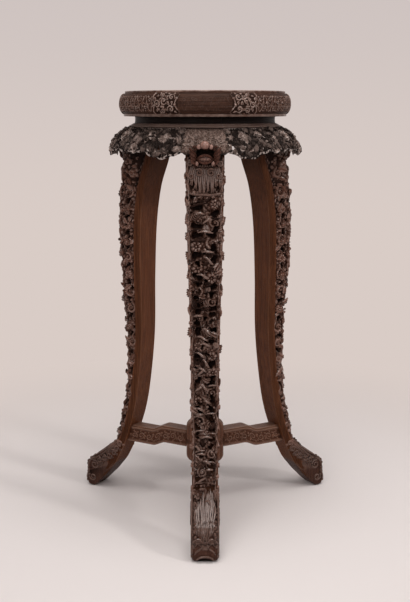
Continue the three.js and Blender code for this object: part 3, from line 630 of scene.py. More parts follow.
ring_wood = wood("moulding wood", ((58, 40, 33), (88, 66, 57), (132, 114, 106), (14, 7, 5)), (420, 10, 420),
                 crest_share=0.6, dust_and_top_light_share=0.6, roughness=0.34, grain_bump=0.5, bent=1)
make_round("shoulder_ring", shoulder, ring_wood, "shoulder_moulding")

# Apron: three bent hardwood skirts tenoned between the leg heads, pierced and carved with coils,
# leaves and blossoms. The carving is laid out flat, u along the skirt and v down it, and then bent.
apron_flare = 43
apron_fullness = 1.65
apron_drop = 55
apron_top = 828.1
apron_girth = 49
apron_arc = 190
apron_half = radians(60 - 13.55) * apron_arc
apron_edge = 79
apron_lobe = 15
apron_lobe_centre = 26
apron_lobe_span = 15
apron_wall = 7.5
apron_ground = -8.5
rail_half = apron_half - 0.2
leaf_margin = 4
bead_margin = 5
ground_leaves = 170
free_leaves = 210
free_beads = 110


def apron_section(turn):
    """Radius and height of the skirt's face, flat under the shoulder and steep at its edge."""
    return Vector((shoulder_radius + apron_flare * max(sin(turn), 0) ** apron_fullness,
                   apron_top - apron_drop * (1 - cos(turn))))


def apron_bend(u, v, lift):
    """The point of the bent skirt that lies at u and v on the flat drawing."""
    angle = u / apron_arc
    turn = v / apron_girth
    along = apron_section(turn + 0.02) - apron_section(max(turn - 0.02, 0))
    radius, height = apron_section(turn) + Vector((-along.y, along.x)).normalized() * lift
    return Vector((radius * cos(angle), radius * sin(angle), height))


def apron_depth(u):
    """How far down the skirt its lower edge lies: a lobe beside each leg."""
    from_leg = 60 - math.degrees(abs(u) / apron_arc)
    offset = clamp((from_leg - apron_lobe_centre) / apron_lobe_span, -1, 1)
    return radians(apron_edge + apron_lobe * (0.5 + 0.5 * cos(pi * offset))) * apron_girth


def bend(bm, carrier, sink):
    """Sends a flat carving through its carrier, and paints shade on each point by how deep it lies."""
    recess = note_of(bm, "recess")
    for vert in bm.verts:
        vert[recess] = clamp(-vert.co.z / sink)
        vert.co = carrier(*vert.co)


def strand(bm, path, sides=7):
    """A rounded strand through (x, y, z, radius) points that closes at both ends."""
    path = [Vector(point) for point in path]
    last = len(path) - 1
    grid = grid_of(bm, sides, last)
    frames = []
    for i in range(last + 1):
        ahead = (path[min(i + 1, last)].xyz - path[max(i - 1, 0)].xyz).normalized()
        side = ahead.cross(Vector((0, 0, 1))).normalized()
        frames.append((side, side.cross(ahead)))
    for vert in grid:
        i = round((vert.co.y + 0.5) * last)
        turn = (vert.co.x + 0.5) * 2 * pi
        side, up = frames[i]
        radius = path[i].w * (0.03 if i in (0, last) else 1)
        vert.co = path[i].xyz + (side * cos(turn) + up * sin(turn)) * radius
    bmesh.ops.remove_doubles(bm, verts=grid, dist=0.06)


def coil_path(x, y, z, radius, turns, hand, start, thick, rise=2.0):
    """A volute for a strand: it winds in, thins and rises towards its eye."""
    return [(*around(x, y, radius * (1 - 0.84 * t), start + hand * 2 * pi * turns * t), z + rise * t,
             thick * (1 - 0.5 * t) * clamp(t * 6 + 0.35)) for t in shares(max(10, int(15 * turns)))]


def keep_form(bm, name):
    """Closes a small carved form and keeps it as a mesh, to be added many times."""
    bmesh.ops.recalc_face_normals(bm, faces=bm.faces)
    mesh = bpy.data.meshes.new(name)
    bm.to_mesh(mesh)
    bm.free()
    return mesh


def close_below(bm, skin, narrow, shorten, drop):
    """Draws the open edge of a blade down to a narrower foot, and closes it there."""
    edges = [edge for edge in bm.edges if edge.is_boundary and edge.verts[0] in skin]
    foot = bmesh.ops.extrude_edge_only(bm, edges=edges)["geom"]
    for vert in (part for part in foot if isinstance(part, bmesh.types.BMVert)):
        vert.co = (vert.co.x * narrow, vert.co.y * shorten, -drop)
    fill_holes(bm)


def leaf_form(name, length, width, lobes, arch, across, along):
    """A carved leaf: an arched blade with a sunk midrib, closed below by a narrowing foot."""
    bm = bmesh.new()
    for vert in grid_of(bm, across, along):
        s = vert.co.x * 2
        t = vert.co.y + 0.5
        half = width / 2 * sin(pi * t ** 0.75) ** 0.8 * (1 + 0.17 * cos(2 * pi * lobes * t))
        midrib = 0.16 * width * (abs(s) < 0.1)
        crown = arch * sin(pi * clamp(t * 0.9 + 0.05)) - 0.22 * width * abs(s) ** 2 - midrib
        vert.co = (s * half, (t - 0.5) * length, crown)
    bmesh.ops.remove_doubles(bm, verts=bm.verts, dist=0.01)
    close_below(bm, bm.verts, 0.55, 0.8, 3)
    return keep_form(bm, name)


def blossom_form(name, radius, petals=5, eye=0.3):
    """A carved blossom: cupped petals round a raised eye."""
    bm = bmesh.new()
    for _ in range(petals):
        grid = grid_of(bm, 4, 4)
        for vert in grid:
            s = vert.co.x * 2
            t = vert.co.y + 0.5
            half = radius * 0.47 * sin(pi * clamp(0.16 + t * 0.74)) ** 0.7
            vert.co = (s * half, radius * (0.2 + 0.8 * t) * (1 - 0.12 * s * s),
                       radius * (0.34 * s * s * t + 0.2 * t))
        close_below(bm, grid, 0.5, 0.7, radius * 0.45)
        turn_upright(bm, 2 * pi / petals)
    middle = bmesh.ops.create_uvsphere(bm, u_segments=10, v_segments=6, radius=radius * eye)["verts"]
    bmesh.ops.translate(bm, verts=middle, vec=(0, 0, radius * 0.1))
    return keep_form(bm, name)


def bead_form(name, radius):
    bm = bmesh.new()
    bmesh.ops.create_uvsphere(bm, u_segments=8, v_segments=5, radius=radius)
    return keep_form(bm, name)


def add_form(bm, form, x, y, z, turn=0.0, scale=1.0, tilt=0.0, roll=0.0):
    """Adds one carved form to a carving, turned on the surface, tilted and scaled."""
    copy = form.copy()
    copy.transform(Matrix.Translation((x, y, z)) @ Matrix.Rotation(turn, 4, "Z")
                   @ Matrix.Rotation(tilt, 4, "X") @ Matrix.Rotation(roll, 4, "Y") @ Matrix.Scale(scale, 4))
    bm.from_mesh(copy)
    bpy.data.meshes.remove(copy)


def free_of(x, y, spots, margin=0.0):
    """Whether a place lies outside all the round spots."""
    return all((x - a) ** 2 + (y - b) ** 2 >= (r + margin) ** 2 for a, b, r in spots)


def scatter(rng, count, spacing, low, high, blocked=()):
    """Places spread over a flat drawing, kept apart from each other and out of blocked spots."""
    places = []
    for _ in range(count * 12):
        if len(places) == count:
            break
        x, y = rng.uniform(low[0], high[0]), rng.uniform(low[1], high[1])
        if free_of(x, y, blocked) and free_of(x, y, ((a, b, spacing) for a, b in places)):
            places.append((x, y))
    return places


def rail(bm, v_at, z):
    """One strand along an edge of the whole skirt."""
    steps = int(rail_half / 1.6)
    places = [rail_half * i / steps for i in range(-steps, steps + 1)]
    strand(bm, [(u, v_at(u), z, 2.6) for u in places], 8)


pointed_leaf = leaf_form("pointed leaf", 20, 9, 0, 2.2, across=2, along=6)
lobed_leaf = leaf_form("lobed leaf", 26, 13, 4, 3.0, across=4, along=8)
blossom = blossom_form("blossom", 10)
bead = bead_form("bead", 2.2)

# The openings are ellipses (u, v, half length, half width, tilt), mirrored about mid-span.
apron_openings = [
    (10, 45, 6, 4, 70), (0, 17, 6, 4, 0), (25, 14, 7, 4, -20), (33, 62, 6, 4, 30), (47, 18, 6, 4, 40),
    (66, 14, 7, 4, -10), (60, 60, 7, 4, -40), (52, 40, 6, 3.6, 60), (86, 13, 7, 4, 10), (93, 40, 6, 4, 80),
    (87, 70, 6, 3.6, 20), (104, 13, 6, 4, -20), (108, 58, 7, 4.6, 40), (123, 13, 7, 4, 0),
    (127, 71, 5, 3.2, -20), (141, 16, 6, 4, 50), (142, 58, 7, 4, 100), (76, 30, 5, 3.4, -50)]
# Lotus leaves (u, v, radius, veins) and coils (u, v, radius, turns, hand, start, thickness), and
# their mirrored twins, and the blossoms (u, v, scale)
apron_lotus = [(side * u, v, r, veins) for side in (-1, 1)
               for u, v, r, veins in ((114, 35, 19, 13), (144, 37, 10, 9), (34, 38, 14, 11), (72, 50, 10, 9))]
apron_coils = [(side * u, v, r, turns, side * hand, start if side > 0 else pi - start, thick)
               for side in (-1, 1) for u, v, r, turns, hand, start, thick in (
                   (88, 57, 9, 1.1, 1, 1.2, 2.9), (20, 60, 9, 1.0, 1, 4.6, 2.8),
                   (62, 32, 10, 1.1, -1, 1.9, 3.0), (127, 59, 8, 1.0, -1, 4.1, 2.7),
                   (92, 25, 7, 1.0, 1, 0.3, 2.6))]
apron_blossoms = ((0, 37, 1.3), (-50, 62, 1.0), (50, 62, 1.0), (-84, 36, 1.0), (84, 36, 1.0))


def in_opening(u, v):
    for a, b, long_half, short_half, tilt in apron_openings:
        du = abs(u) - a
        dv = v - b
        turn = radians(tilt)
        along = (du * cos(turn) + dv * sin(turn)) / long_half
        across = (dv * cos(turn) - du * sin(turn)) / short_half
        if along ** 2 + across ** 2 < 1:
            return True
    return False


apron = bmesh.new()
for vert in grid_of(apron, 256, 60):
    u = vert.co.x * 2 * apron_half
    vert.co = (u, (vert.co.y + 0.5) * (apron_depth(u) - 1.5), 0)
cut = [face for face in apron.faces if in_opening(*face.calc_center_median().xy)]
bmesh.ops.delete(apron, geom=cut, context="FACES")
for _ in range(3):
    rim_verts = [vert for vert in apron.verts if vert.is_boundary and abs(vert.co.x) < apron_half - 1
                 and 1 < vert.co.y < apron_depth(vert.co.x) - 3]
    bmesh.ops.smooth_vert(apron, verts=rim_verts, factor=0.5, use_axis_x=True, use_axis_y=True,
                          use_axis_z=False)
apron_random = random.Random(5)
ground_lines = []
lotus_spots = [(u, v, r * 0.8) for u, v, r, _ in apron_lotus]
for u, v, r, veins in apron_lotus:
    ground_lines.append(raised_line([around(u, v, r, t / 9) for t in range(58)], 1.9, 7.2, 0.9))
    for k in range(veins):
        angle = k * 2 * pi / veins + 0.2
        vein = [around(u, v, 2.5, angle), around(u, v, r * 0.95, angle + 0.25)]
        ground_lines.append(raised_line(vein, 1.5, 6.6, 0.7))
    ground_lines.append([(u, v, 3.2, 8), (u, v, r, 3.4)])
for u, v, r, turns, hand, start, thick in apron_coils:
    ground_lines.append(raised_line(spiral_path(u, v, r, turns, hand, start), thick, 6))
for u, v in scatter(apron_random, ground_leaves, 9.5, (-apron_half, 4), (apron_half, 76), lotus_spots):
    ground_lines += leaf_lines(u, v, apron_random.uniform(8, 14), apron_random.uniform(0, 2 * pi),
                               apron_random.uniform(2.4, 3.8), apron_random.uniform(3.5, 7.5))
ground_height = relief_of(ground_lines)
for vert in apron.verts:
    u, v, _ = vert.co
    lobes = 2.6 + 1.5 * sin(u * 0.62 + 2 * sin(v * 0.31)) * sin(v * 0.55 + 1.5 * sin(u * 0.23))
    vert.co.z = max(ground_height(u, v), lobes) + apron_ground
bmesh.ops.solidify(apron, geom=apron.faces[:], thickness=apron_wall)
bmesh.ops.recalc_face_normals(apron, faces=apron.faces)
rail(apron, lambda u: 2.2, -3.8)
rail(apron, lambda u: apron_depth(u) - 2.4 + 1.6 * sin(u / 4.3), -4.6)
for side in (-1, 1):
    for u, v, r, turns, hand, start, thick in apron_coils:
        if u * side < 0:
            continue
        strand(apron, coil_path(u, v, -4.4, r, turns, hand, start, thick, 1.0), 8)
        add_form(apron, lobed_leaf, u, v, -0.8, start, 0.75, 0.2, 0.2)
        for k in range(int(r * 0.6)):
            angle = start + k * 2 * pi / int(r * 0.6)
            add_form(apron, pointed_leaf, *around(u, v, r + 3, angle), -3.0, angle - pi / 2 - hand * 0.7,
                     0.55 + r / 50, apron_random.uniform(-0.25, 0.35))
    for u, v, r, _ in apron_lotus:
        if u * side < 0:
            continue
        for k in range(int(r * 0.7)):
            angle = k * 2 * pi / int(r * 0.7)
            curl = apron_random.uniform(-0.3, 0.3)
            add_form(apron, lobed_leaf, *around(u, v, r + 2.5, angle + curl), -2.8, angle - pi / 2 + curl * 2,
                     apron_random.uniform(0.45, 0.65), apron_random.uniform(-0.3, 0.4))
for u, v, scale in apron_blossoms:
    add_form(apron, blossom, u, v, -1.8, u, scale)
blocked = [(side * u, v, 5.5) for side in (-1, 1) for u, v, *_ in apron_openings] + lotus_spots
for u, v in scatter(apron_random, free_leaves, 8.2, (-apron_half + 5, 7), (apron_half - 5, 78), blocked):
    if v > apron_depth(u) - leaf_margin:
        continue
    form = lobed_leaf if apron_random.random() < 0.7 else pointed_leaf
    add_form(apron, form, u, v, apron_random.uniform(-3.8, 0.6), apron_random.uniform(0, 2 * pi),
             apron_random.uniform(0.55, 1.0), apron_random.uniform(-0.5, 0.5),
             apron_random.uniform(-0.5, 0.5))
for u, v in scatter(apron_random, free_beads, 6, (-apron_half + 4, 6), (apron_half - 4, 76), blocked):
    if v < apron_depth(u) - bead_margin:
        add_form(apron, bead, u, v, apron_random.uniform(-4, -1.5), 0, apron_random.uniform(0.6, 1.2))
for t in shares(int(apron_half * 2 / 6.4) - 1):
    u = -apron_half + 4 + (apron_half - 4) * 2 * t
    add_form(apron, bead, u, 5.8, -3.0, 0, 0.95)
    add_form(apron, pointed_leaf, u, apron_depth(u) - leaf_margin, -2.6, pi + apron_random.uniform(-0.7, 0.7),
             apron_random.uniform(0.4, 0.65), -0.2)
bend(apron, apron_bend, 20)
turn_upright(apron, radians(60))
mark_crests(apron, 2.4)
mark_hollow_shade(apron, 6.5, 1.6)
# The apron's tones are lighter and greyer than the legs': painted light from above on its upward slope.
top_lit_apron_wood = wood("apron wood with painted top light", ((112, 93, 85), (160, 139, 130), (196, 184, 178), (6, 1, 0)),
                   (380, 380, 16), crest_share=0.75, dust_and_top_light_share=0.45, roughness=0.26, grain_bump=0.4,
                   shine=1.0, chisel=1.3)
make_round("carved_apron", apron, top_lit_apron_wood, "apron")

# Legs: three curved planks of solid wood, plain behind and at the sides. Each stands on its
# toe, and its post goes up through the shoulder and waist to a tenon in the frame of the top.
# Stations of a leg (height, inner radius, outer radius, width)
leg_stations = [
    (0, 283, 301, 51), (25, 259, 303, 51), (64, 225, 293, 53), (88, 211, 263, 53), (120, 196, 226, 52),
    (190, 171.5, 206, 55), (257, 158, 192, 56), (375, 145.5, 190, 58), (500, 145, 198, 64),
    (620, 141.5, 202, 71), (700, 130, 196, 74), (755, 112, 186, 77), (800, 100, 182, 78)]
leg_tabled = 830
plank_depth = 20
side_strip = 12.5
corner_radius = 8
carving_inset = 0.6


def station_at(height):
    """Inner radius, outer radius and width of the leg at a height, smoothly between stations."""
    last = len(leg_stations) - 1
    height = clamp(height, 0, leg_stations[last][0])
    i = 0
    while i < last - 1 and height > leg_stations[i + 1][0]:
        i += 1
    low, high = leg_stations[i], leg_stations[i + 1]
    before, after = leg_stations[max(i - 1, 0)], leg_stations[min(i + 2, last)]
    span = high[0] - low[0]
    t = (height - low[0]) / span
    out = []
    for k in (1, 2, 3):
        slope_low = (high[k] - before[k]) / (high[0] - before[0])
        slope_high = (after[k] - low[k]) / (after[0] - low[0])
        out.append((2 * t ** 3 - 3 * t ** 2 + 1) * low[k] + (t ** 3 - 2 * t ** 2 + t) * span * slope_low
                   + (3 * t ** 2 - 2 * t ** 3) * high[k] + (t ** 3 - t ** 2) * span * slope_high)
    return out


def lean_at(height):
    low, high = max(height - 4, 0), min(height + 4, leg_tabled)
    return math.atan((leg_table[high][1] - leg_table[low][1]) / (high - low))


leg_table = [station_at(height) for height in range(leg_tabled + 1)]
for height in range(leg_tabled + 1):
    leg_table[height].append(lean_at(height))


def leg_at(height):
    """Inner radius, outer radius, width and lean of the leg, read between whole millimetres."""
    height = clamp(height, 0, leg_tabled - 0.01)
    i = int(height)
    return [low + (high - low) * (height - i) for low, high in zip(leg_table[i], leg_table[i + 1])]


def leg_half(height):
    return leg_at(height)[2] / 2


# Section of the plank (share of half width, depth from the inner face), with a bead at the edge
plank_section = [(0, 0.9), (0.4, 0.9), (0.72, 0.9), (0.83, 0.9), (0.85, 1.4), (0.87, 0.5), (0.91, 0.05),
                 (0.95, 0.1), (0.98, 0.7), (1, 1.8), (1, 3.4), (0.985, 3.8), (1, 4.3), (1, 8),
                 (1, side_strip), (0.96, 14.5), (0.93, 17), (0.8, plank_depth), (0.5, plank_depth - 1),
                 (0, plank_depth)]


def ring_of(section):
    """A half section and its mirrored half, as one closed ring."""
    return section + [(-a, b) for a, b in section[-2:0:-1]]


def box(bm, middle, size):
    bmesh.ops.create_cube(bm, size=1, matrix=Matrix.Translation(middle) @ Matrix.Diagonal((*size, 1)))


plank_ring = ring_of(plank_section)
plank_foot = 30
plank_head = 818
plank = bmesh.new()
recess = note_of(plank, "recess")
skin = grid_of(plank, len(plank_ring), 150)
for vert in skin:
    share, depth = plank_ring[round((vert.co.x + 0.5) * len(plank_ring)) % len(plank_ring)]
    height = plank_foot + (plank_head - plank_foot) * (vert.co.y + 0.5)
    inner, _, width, lean = leg_at(height)
    vert.co = (inner + depth / cos(lean), share * width / 2, height)
    # Painted shade: on the side strips, more near the foot, behind the carving, and towards the top under the
    # apron.
    side_shade = 0.56 + 0.16 * clamp((220 - height) / 60) if abs(share) > 0.975 else 0.0
    shade_behind_carving = clamp((depth - side_strip - 2) / 4) * 0.9
    vert[recess] = max(shade_behind_carving, side_shade, 0.66 * clamp((height - 640) / 120))
bmesh.ops.remove_doubles(plank, verts=skin, dist=0.01)
close_ends(plank)
post = bmesh.new()
box(post, (116, 0, 823.6), (32, 44, 51))
box(post, (123, 0, 857), (14, 30, 20))
bmesh.ops.bevel(post, geom=post.edges[:], offset=0.6, segments=2, profile=0.5, affect="EDGES", material=-1)
add_part(plank, post)
mark_crests(plank)
plank_wood = wood("plain leg wood", ((78, 43, 25), (112, 68, 44), (134, 94, 70), (22, 7, 1)), (380, 380, 12),
                  crest_share=0.35, dust_and_top_light_share=0.1, roughness=0.42, grain_bump=0.6, shine=0.12)
make_round("leg_plank", plank, plank_wood, "leg")

# Carving of the legs: deep openwork cut from the front and the sides of each plank. Hollows, painted
# black as shade, lie between winding stems and two edge rails, with rosettes, scrolls, drooping fans
# and rungs. It is drawn flat: s round the leg from the middle of its front, and the height.
carve_foot = 76
carve_head = 776
mane_foot = 700
cell_pitch = 38
ground = -15
small_hollows = 90
crossing_strands = 36
relief_lumps = 1500
relief_leaves = 420


def leg_point(depth, across, height):
    """A point of the leg at a depth behind its outer line, square to that line."""
    _, outer, _, lean = leg_at(height)
    return Vector((outer - depth * cos(lean), across, height + depth * sin(lean)))


def leg_bend(s, height, lift):
    """Wraps the flat carving round the leg: across the front, round the corners, along the sides."""
    half = leg_half(height) - carving_inset
    front = half - corner_radius
    arc = corner_radius * pi / 2
    side = 1 if s >= 0 else -1
    q = abs(s)
    if q <= front:
        return leg_point(-lift, s, height)
    if q <= front + arc:
        turn = (q - front) / corner_radius
        reach = max(corner_radius + lift, 0.5)
        return leg_point(corner_radius - reach * cos(turn), side * (front + reach * sin(turn)), height)
    return leg_point(corner_radius + q - front - arc, side * (half + lift), height)


def leg_girth(height):
    """Half the length round the carved zone, from the middle of the front to the side strip."""
    inner, outer, width, lean = leg_at(height)
    flank = max((outer - inner) * cos(lean) - side_strip - corner_radius, 1)
    return width / 2 - carving_inset + corner_radius * (pi / 2 - 1) + flank


leg_random = random.Random(23)
holes = []
blooms = []
leg_lines = []
free_paths = []


def draw(low, high):
    return leg_random.uniform(low, high)


def ridge(points, width, top, taper=0.45):
    """Raises a rounded line of the openwork."""
    leg_lines.append(raised_line(points, width, top - ground, taper))


def rosette(x, h, r):
    """A round flower of seven overlapping lobes, with a button in its middle."""
    leg_lines.append([(x, h, r * 1.15, 14.5)])
    for k in range(7):
        leg_lines.append([(*around(x, h, 0.56 * r, k * 2 * pi / 7 + r), 0.52 * r, 17.5)])
    leg_lines.append([(x, h, 0.3 * r, 18)])
    blooms.append((x, h, r))


def hollow_share(spot, s, h):
    """How far a point lies from the middle of a hollow of uneven outline, as a share of its reach."""
    a, b, r = spot
    angle = math.atan2(h - b, s - a)
    uneven = 1 + 0.3 * sin(2 * angle + b) + 0.16 * sin(3 * angle + a)
    return ((a - s) ** 2 + (b - h) ** 2) / (r * uneven) ** 2


def scroll(x, h, r, hand, start, tail):
    """A scroll that winds in from a tail, with a lobe on its back."""
    coil = spiral_path(x, h, r, 1.4, hand, start)
    joint = ((tail[0] + coil[0][0]) / 2 + hand * 1.5, (tail[1] + coil[0][1]) / 2)
    ridge(curve_through([tail, joint, *coil[::2]], 3), 0.26 * r + 1.2, 1.2, 0.5)
    leg_lines.append([(x, h, r * 0.95, 11)])
    leg_lines.append([(x, h, r * 0.28, 17)])
    leg_lines.append([(*around(x, h, r, start + pi * 0.5), r * 0.4, 15)])
    blooms.append((x, h, r * 0.9))


def fan(x, h, r):
    """Drooping ribs, one inside the other."""
    for k, share in enumerate((1.0, 0.74, 0.48, 0.22)):
        arc = [(x + r * share * cos(a), h + r * 0.3 + 1.2 * r * share * sin(a))
               for a in (pi * (1.03 + 0.94 * t) for t in shares(12))]
        ridge(arc, 0.15 * r + 0.9, -1.2 + 0.9 * k, 0.6)
    blooms.append((x, h - r * 0.3, r))


def rung(x, h, reach, tilt):
    """A short cross bar with a bright back: a ridge, and a free strand laid over it."""
    points = [(x - reach, h - tilt), (x - reach * 0.4, h + 1.4), (x + reach * 0.4, h + 1.6),
              (x + reach, h + tilt)]
    ridge(points, 2.6, -0.2, 0.6)
    free_paths.append([(*point, -0.88, 1.7 * (0.6 + 0.4 * sin(pi * t)))
                       for point, t in zip(points, shares(3))])


def front_cell(kind, side, x, h, r):
    """One of four patterns that take turns down the two columns of the front."""
    if kind == 0:
        holes.append((x, h - 10, r * 0.8))
        rosette(x, h + 8, r * 0.98)
        rung(x, h - 20, r * 1.15, side * 2)
    elif kind == 1:
        holes.extend([(x + side * 1.5, h - 14, r * 0.74), (x - side * 2, h + 15, r * 0.6)])
        scroll(x, h, r * 1.02, side, 1.2 if side > 0 else pi - 1.2, (side * 3, h + 21))
    elif kind == 2:
        holes.append((x, h + 12, r * 0.8))
        fan(x, h - 4, r * 0.98)
        rung(x, h + 21, r * 1.1, -side * 2.5)
    else:
        holes.extend([(x, h - 10, r * 0.76), (x + side, h + 9, r * 0.7)])
        rung(x, h, r * 1.2, side * draw(-3, 3))
        scroll(x - side * 3, h + 19, r * 0.62, -side, 4.0, (x + side * r, h + 12))


for row in range(math.ceil((carve_head - 4 - carve_foot - 22) / cell_pitch)):
    height = carve_foot + 22 + row * cell_pitch
    half = leg_half(height)
    side_width = leg_girth(height) - half
    for side in (-1, 1):
        middle = height + (0.36 * cell_pitch if side > 0 else 0) + draw(-6, 6)
        x = side * half * draw(0.38, 0.54)
        r = half * draw(0.3, 0.42)
        kind = (row * 3 + (2 if side > 0 else 0) + leg_random.randrange(2)) % 4
        if middle < mane_foot - 8:
            front_cell(kind, side, x, middle, r)
        place = side * (half + 2 + side_width * 0.46)
        middle = height - 0.3 * cell_pitch + draw(-4, 4)
        r = min(side_width * 0.36, 10.5)
        if r > 4:
            if (row + (side > 0)) % 3 == 0:
                rosette(place, middle, r * 0.95)
            else:
                scroll(place, middle, r, -side, draw(0, 6), (place + side * r * 0.5, middle + 20))
            holes.append((place - side * r * 0.3, middle + 0.5 * cell_pitch, r * 0.62))
# Two winding stems and two edge rails (place as a share of half width, sway, wave, phase, half
# width, top), and the band along the side strip
for place, sway, wave, phase, thick, top in ((0, 8.5, 124, 0.6, 4.6, -2.6), (0, -7.5, 88, 2.4, 4, -3.0),
                                             (-0.94, 0.8, 96, 1.2, 4, -2.2), (0.94, 1.2, 104, 3.0, 4, -2.2)):
    stem = []
    for h in range(carve_foot - 5, carve_head + 2, 6):
        stem.append((place * leg_at(h)[2] / 2 + sway * sin(2 * pi * h / wave + phase) + draw(-0.8, 0.8), h))
    ridge(stem, thick, top, 1)
for side in (-1, 1):
    ridge([(side * (leg_girth(h) - 3.5), h) for h in range(carve_foot - 4, carve_head + 6, 6)], 3.6, -3.5, 1)
for x, h in scatter(leg_random, small_hollows, 15, (-70, carve_foot + 16), (70, mane_foot)):
    if abs(x) < leg_girth(h) - 7 and free_of(x, h, holes, 2):
        holes.append((x, h, draw(3, 5.5)))
for k in range(crossing_strands):
    h = carve_foot + 26 + 17 * k + draw(-6, 6)
    half = leg_half(h)
    x = half * draw(-0.85, 0.0)
    reach = half * draw(0.5, 0.95)
    rise = draw(-17, 17)
    if h < mane_foot - 6:
        free_paths.append(curve_through([
            (x, h, -4.5, 1.3), (x + reach * 0.35, h + rise * 0.2 + 3, 0.4, 2.2),
            (x + reach * 0.7, h + rise * 0.7 + 2, 0.8, 2.3), (x + reach, h + rise, -4.5, 1.3)], 5))
for x, h in scatter(leg_random, relief_lumps, 6.6, (-76, carve_foot - 4), (76, carve_head)):
    if abs(x) < leg_girth(h) - 2 and free_of(x, h, holes, 1) and (h < mane_foot + 6 or abs(x) > 38):
        leg_lines.append([(x, h, draw(6, 8), draw(9, 13))])
for x, h in scatter(leg_random, relief_leaves, 9.5, (-72, carve_foot), (72, carve_head - 4)):
    if (abs(x) < leg_girth(h) - 4 and free_of(x, h, holes, 1.5) and free_of(x, h, blooms, -4)
            and (h < mane_foot + 6 or abs(x) > 40)):
        leg_lines += leaf_lines(x, h, draw(8, 13), draw(0, 2 * pi), 3.4, draw(12.5, 15.5))
leg_height = relief_of(leg_lines)
girth_steps = 96
hidden_steps = 4
row_steps = 520
mask_sink = 9
relief = bmesh.new()
recess = note_of(relief, "recess")
relief_ring = girth_steps + hidden_steps
sheet = grid_of(relief, relief_ring, row_steps)
for vert in sheet:
    k = round((vert.co.x + 0.5) * relief_ring) % relief_ring
    h = carve_foot - 6 + (carve_head + 3 - carve_foot) * (vert.co.y + 0.5)
    girth = leg_girth(h)
    inner, _, width, lean = leg_at(h)
    if k > girth_steps:
        t = (k - girth_steps) / hidden_steps * 2 - 1
        vert.co = (inner + (side_strip + 4) / cos(lean), -t * (width / 2 - 3), h)
        continue
    s = girth * (2 * k / girth_steps - 1)
    past_corner = abs(s) - width / 2
    side_fill = 4.5 + 3 * clamp(past_corner / 8)
    height = max(leg_height(s, h), side_fill + 1.6 * sin(s * 0.9) * sin(h * 0.5))
    beside = clamp((past_corner + 4) / 6)
    height += (5.5 - 2.5 * beside) * noise.noise(Vector((s / 12, h / 13, 4.2))) + 0.4 * beside
    # Hollows are sunk and painted black as shade.
    for spot in holes:
        if abs(spot[1] - h) < spot[2] * 1.5:
            away = hollow_share(spot, s, h)
            if away < 1:
                height *= clamp(away ** 1.6 + 0.02)
                vert[recess] = max(vert[recess], 0.95 * clamp((1 - away) * 1.8))
    behind_mask = clamp((h - 742) / 8) * clamp((-3 - past_corner) / 5)
    edge = clamp((girth - abs(s)) / 4)
    lift = ground + height - mask_sink * behind_mask
    vert.co = (s, h, lift * (0.35 + 0.65 * edge) - 1.5 * (1 - edge))
    vert.co = leg_bend(*vert.co)
bmesh.ops.remove_doubles(relief, verts=sheet, dist=0.01)
close_ends(relief)
relief_tree = bvhtree.BVHTree.FromBMesh(relief)
mark_crests(relief, 1.8)
mark_hollow_shade(relief, 11, 1.35)


def paint_light_on_sides(bm):
    """Paints light on the sides of the leg: less painted shade in the hollows, brighter crests, a lighter
    tone.
    """
    crest = note_of(bm, "crest")
    recess = note_of(bm, "recess")
    side_note = note_of(bm, "beside")
    for vert in bm.verts:
        past_edge = clamp((abs(vert.co.y) - leg_half(vert.co.z) + 6) / 5)
        beside = past_edge * clamp((vert.co.z - 100) / 20) * clamp((770 - vert.co.z) / 20)
        vert[side_note] = beside
        vert[recess] *= 1 - 0.5 * beside
        vert[crest] = clamp(vert[crest] + 0.14 * beside)


paint_light_on_sides(relief)
leg_wood = wood("carved leg wood", ((54, 33, 26), (78, 52, 42), (150, 124, 113), (7, 1, 0)), (380, 380, 12),
                crest_share=0.5, dust_and_top_light_share=0.14, roughness=0.3, grain_bump=0.5, shine=1.0, chisel=0.9,
                side_light_tone=(122, 84, 70))
make_round("leg_openwork", relief, leg_wood, "leg")

# Undercut work of the legs, cut from the same plank: free strands, blossoms, leaves and beads that
# stand on the openwork, and the locks of the two manes. It is bent round the leg as the rest is.
toe_flower = (-5, 152, 1.5)
mane_coils = ((60, 22.5, 4.5), (71, 20, 5), (84, 22, 5.5), (97, 20, 5), (108, 13, 5.5), (116, 22, 5))
jaw_mane_top = 758
undercut_leaves = 190
undercut_beads = 90
carving = bmesh.new()
for path in free_paths:
    strand(carving, path)
for x, h, r in blooms:
    if h < mane_foot and leg_random.random() < 0.3:
        add_form(carving, blossom, x, h, draw(-0.6, 0.6), draw(0, 6), r * 0.09, draw(-0.2, 0.2),
                 draw(-0.2, 0.2))
for x, h in scatter(leg_random, undercut_leaves, 12, (-70, carve_foot + 12), (70, 770)):
    if (abs(x) < leg_girth(h) - 6 and free_of(x, h, holes, -1.5) and free_of(x, h, blooms, -4)
            and (h < mane_foot or abs(x) > 42)):
        form = lobed_leaf if leg_random.random() < 0.6 else pointed_leaf
        add_form(carving, form, x, h, draw(-3.0, 1.2), draw(0, 2 * pi), draw(0.5, 1.0), draw(-0.4, 0.4),
                 draw(-0.5, 0.5))
for x, h in scatter(leg_random, undercut_beads, 13, (-66, carve_foot + 20), (66, mane_foot + 6)):
    if abs(x) < leg_girth(h) - 5 and free_of(x, h, holes, -2):
        add_form(carving, bead, x, h, draw(-2.5, -0.6), 0, draw(0.8, 1.7))
add_form(carving, blossom, *toe_flower, 0.6, 1.0)
strand(carving, coil_path(*toe_flower, 10, 1.5, 1, 2.0, 2.6, 2.5), 8)
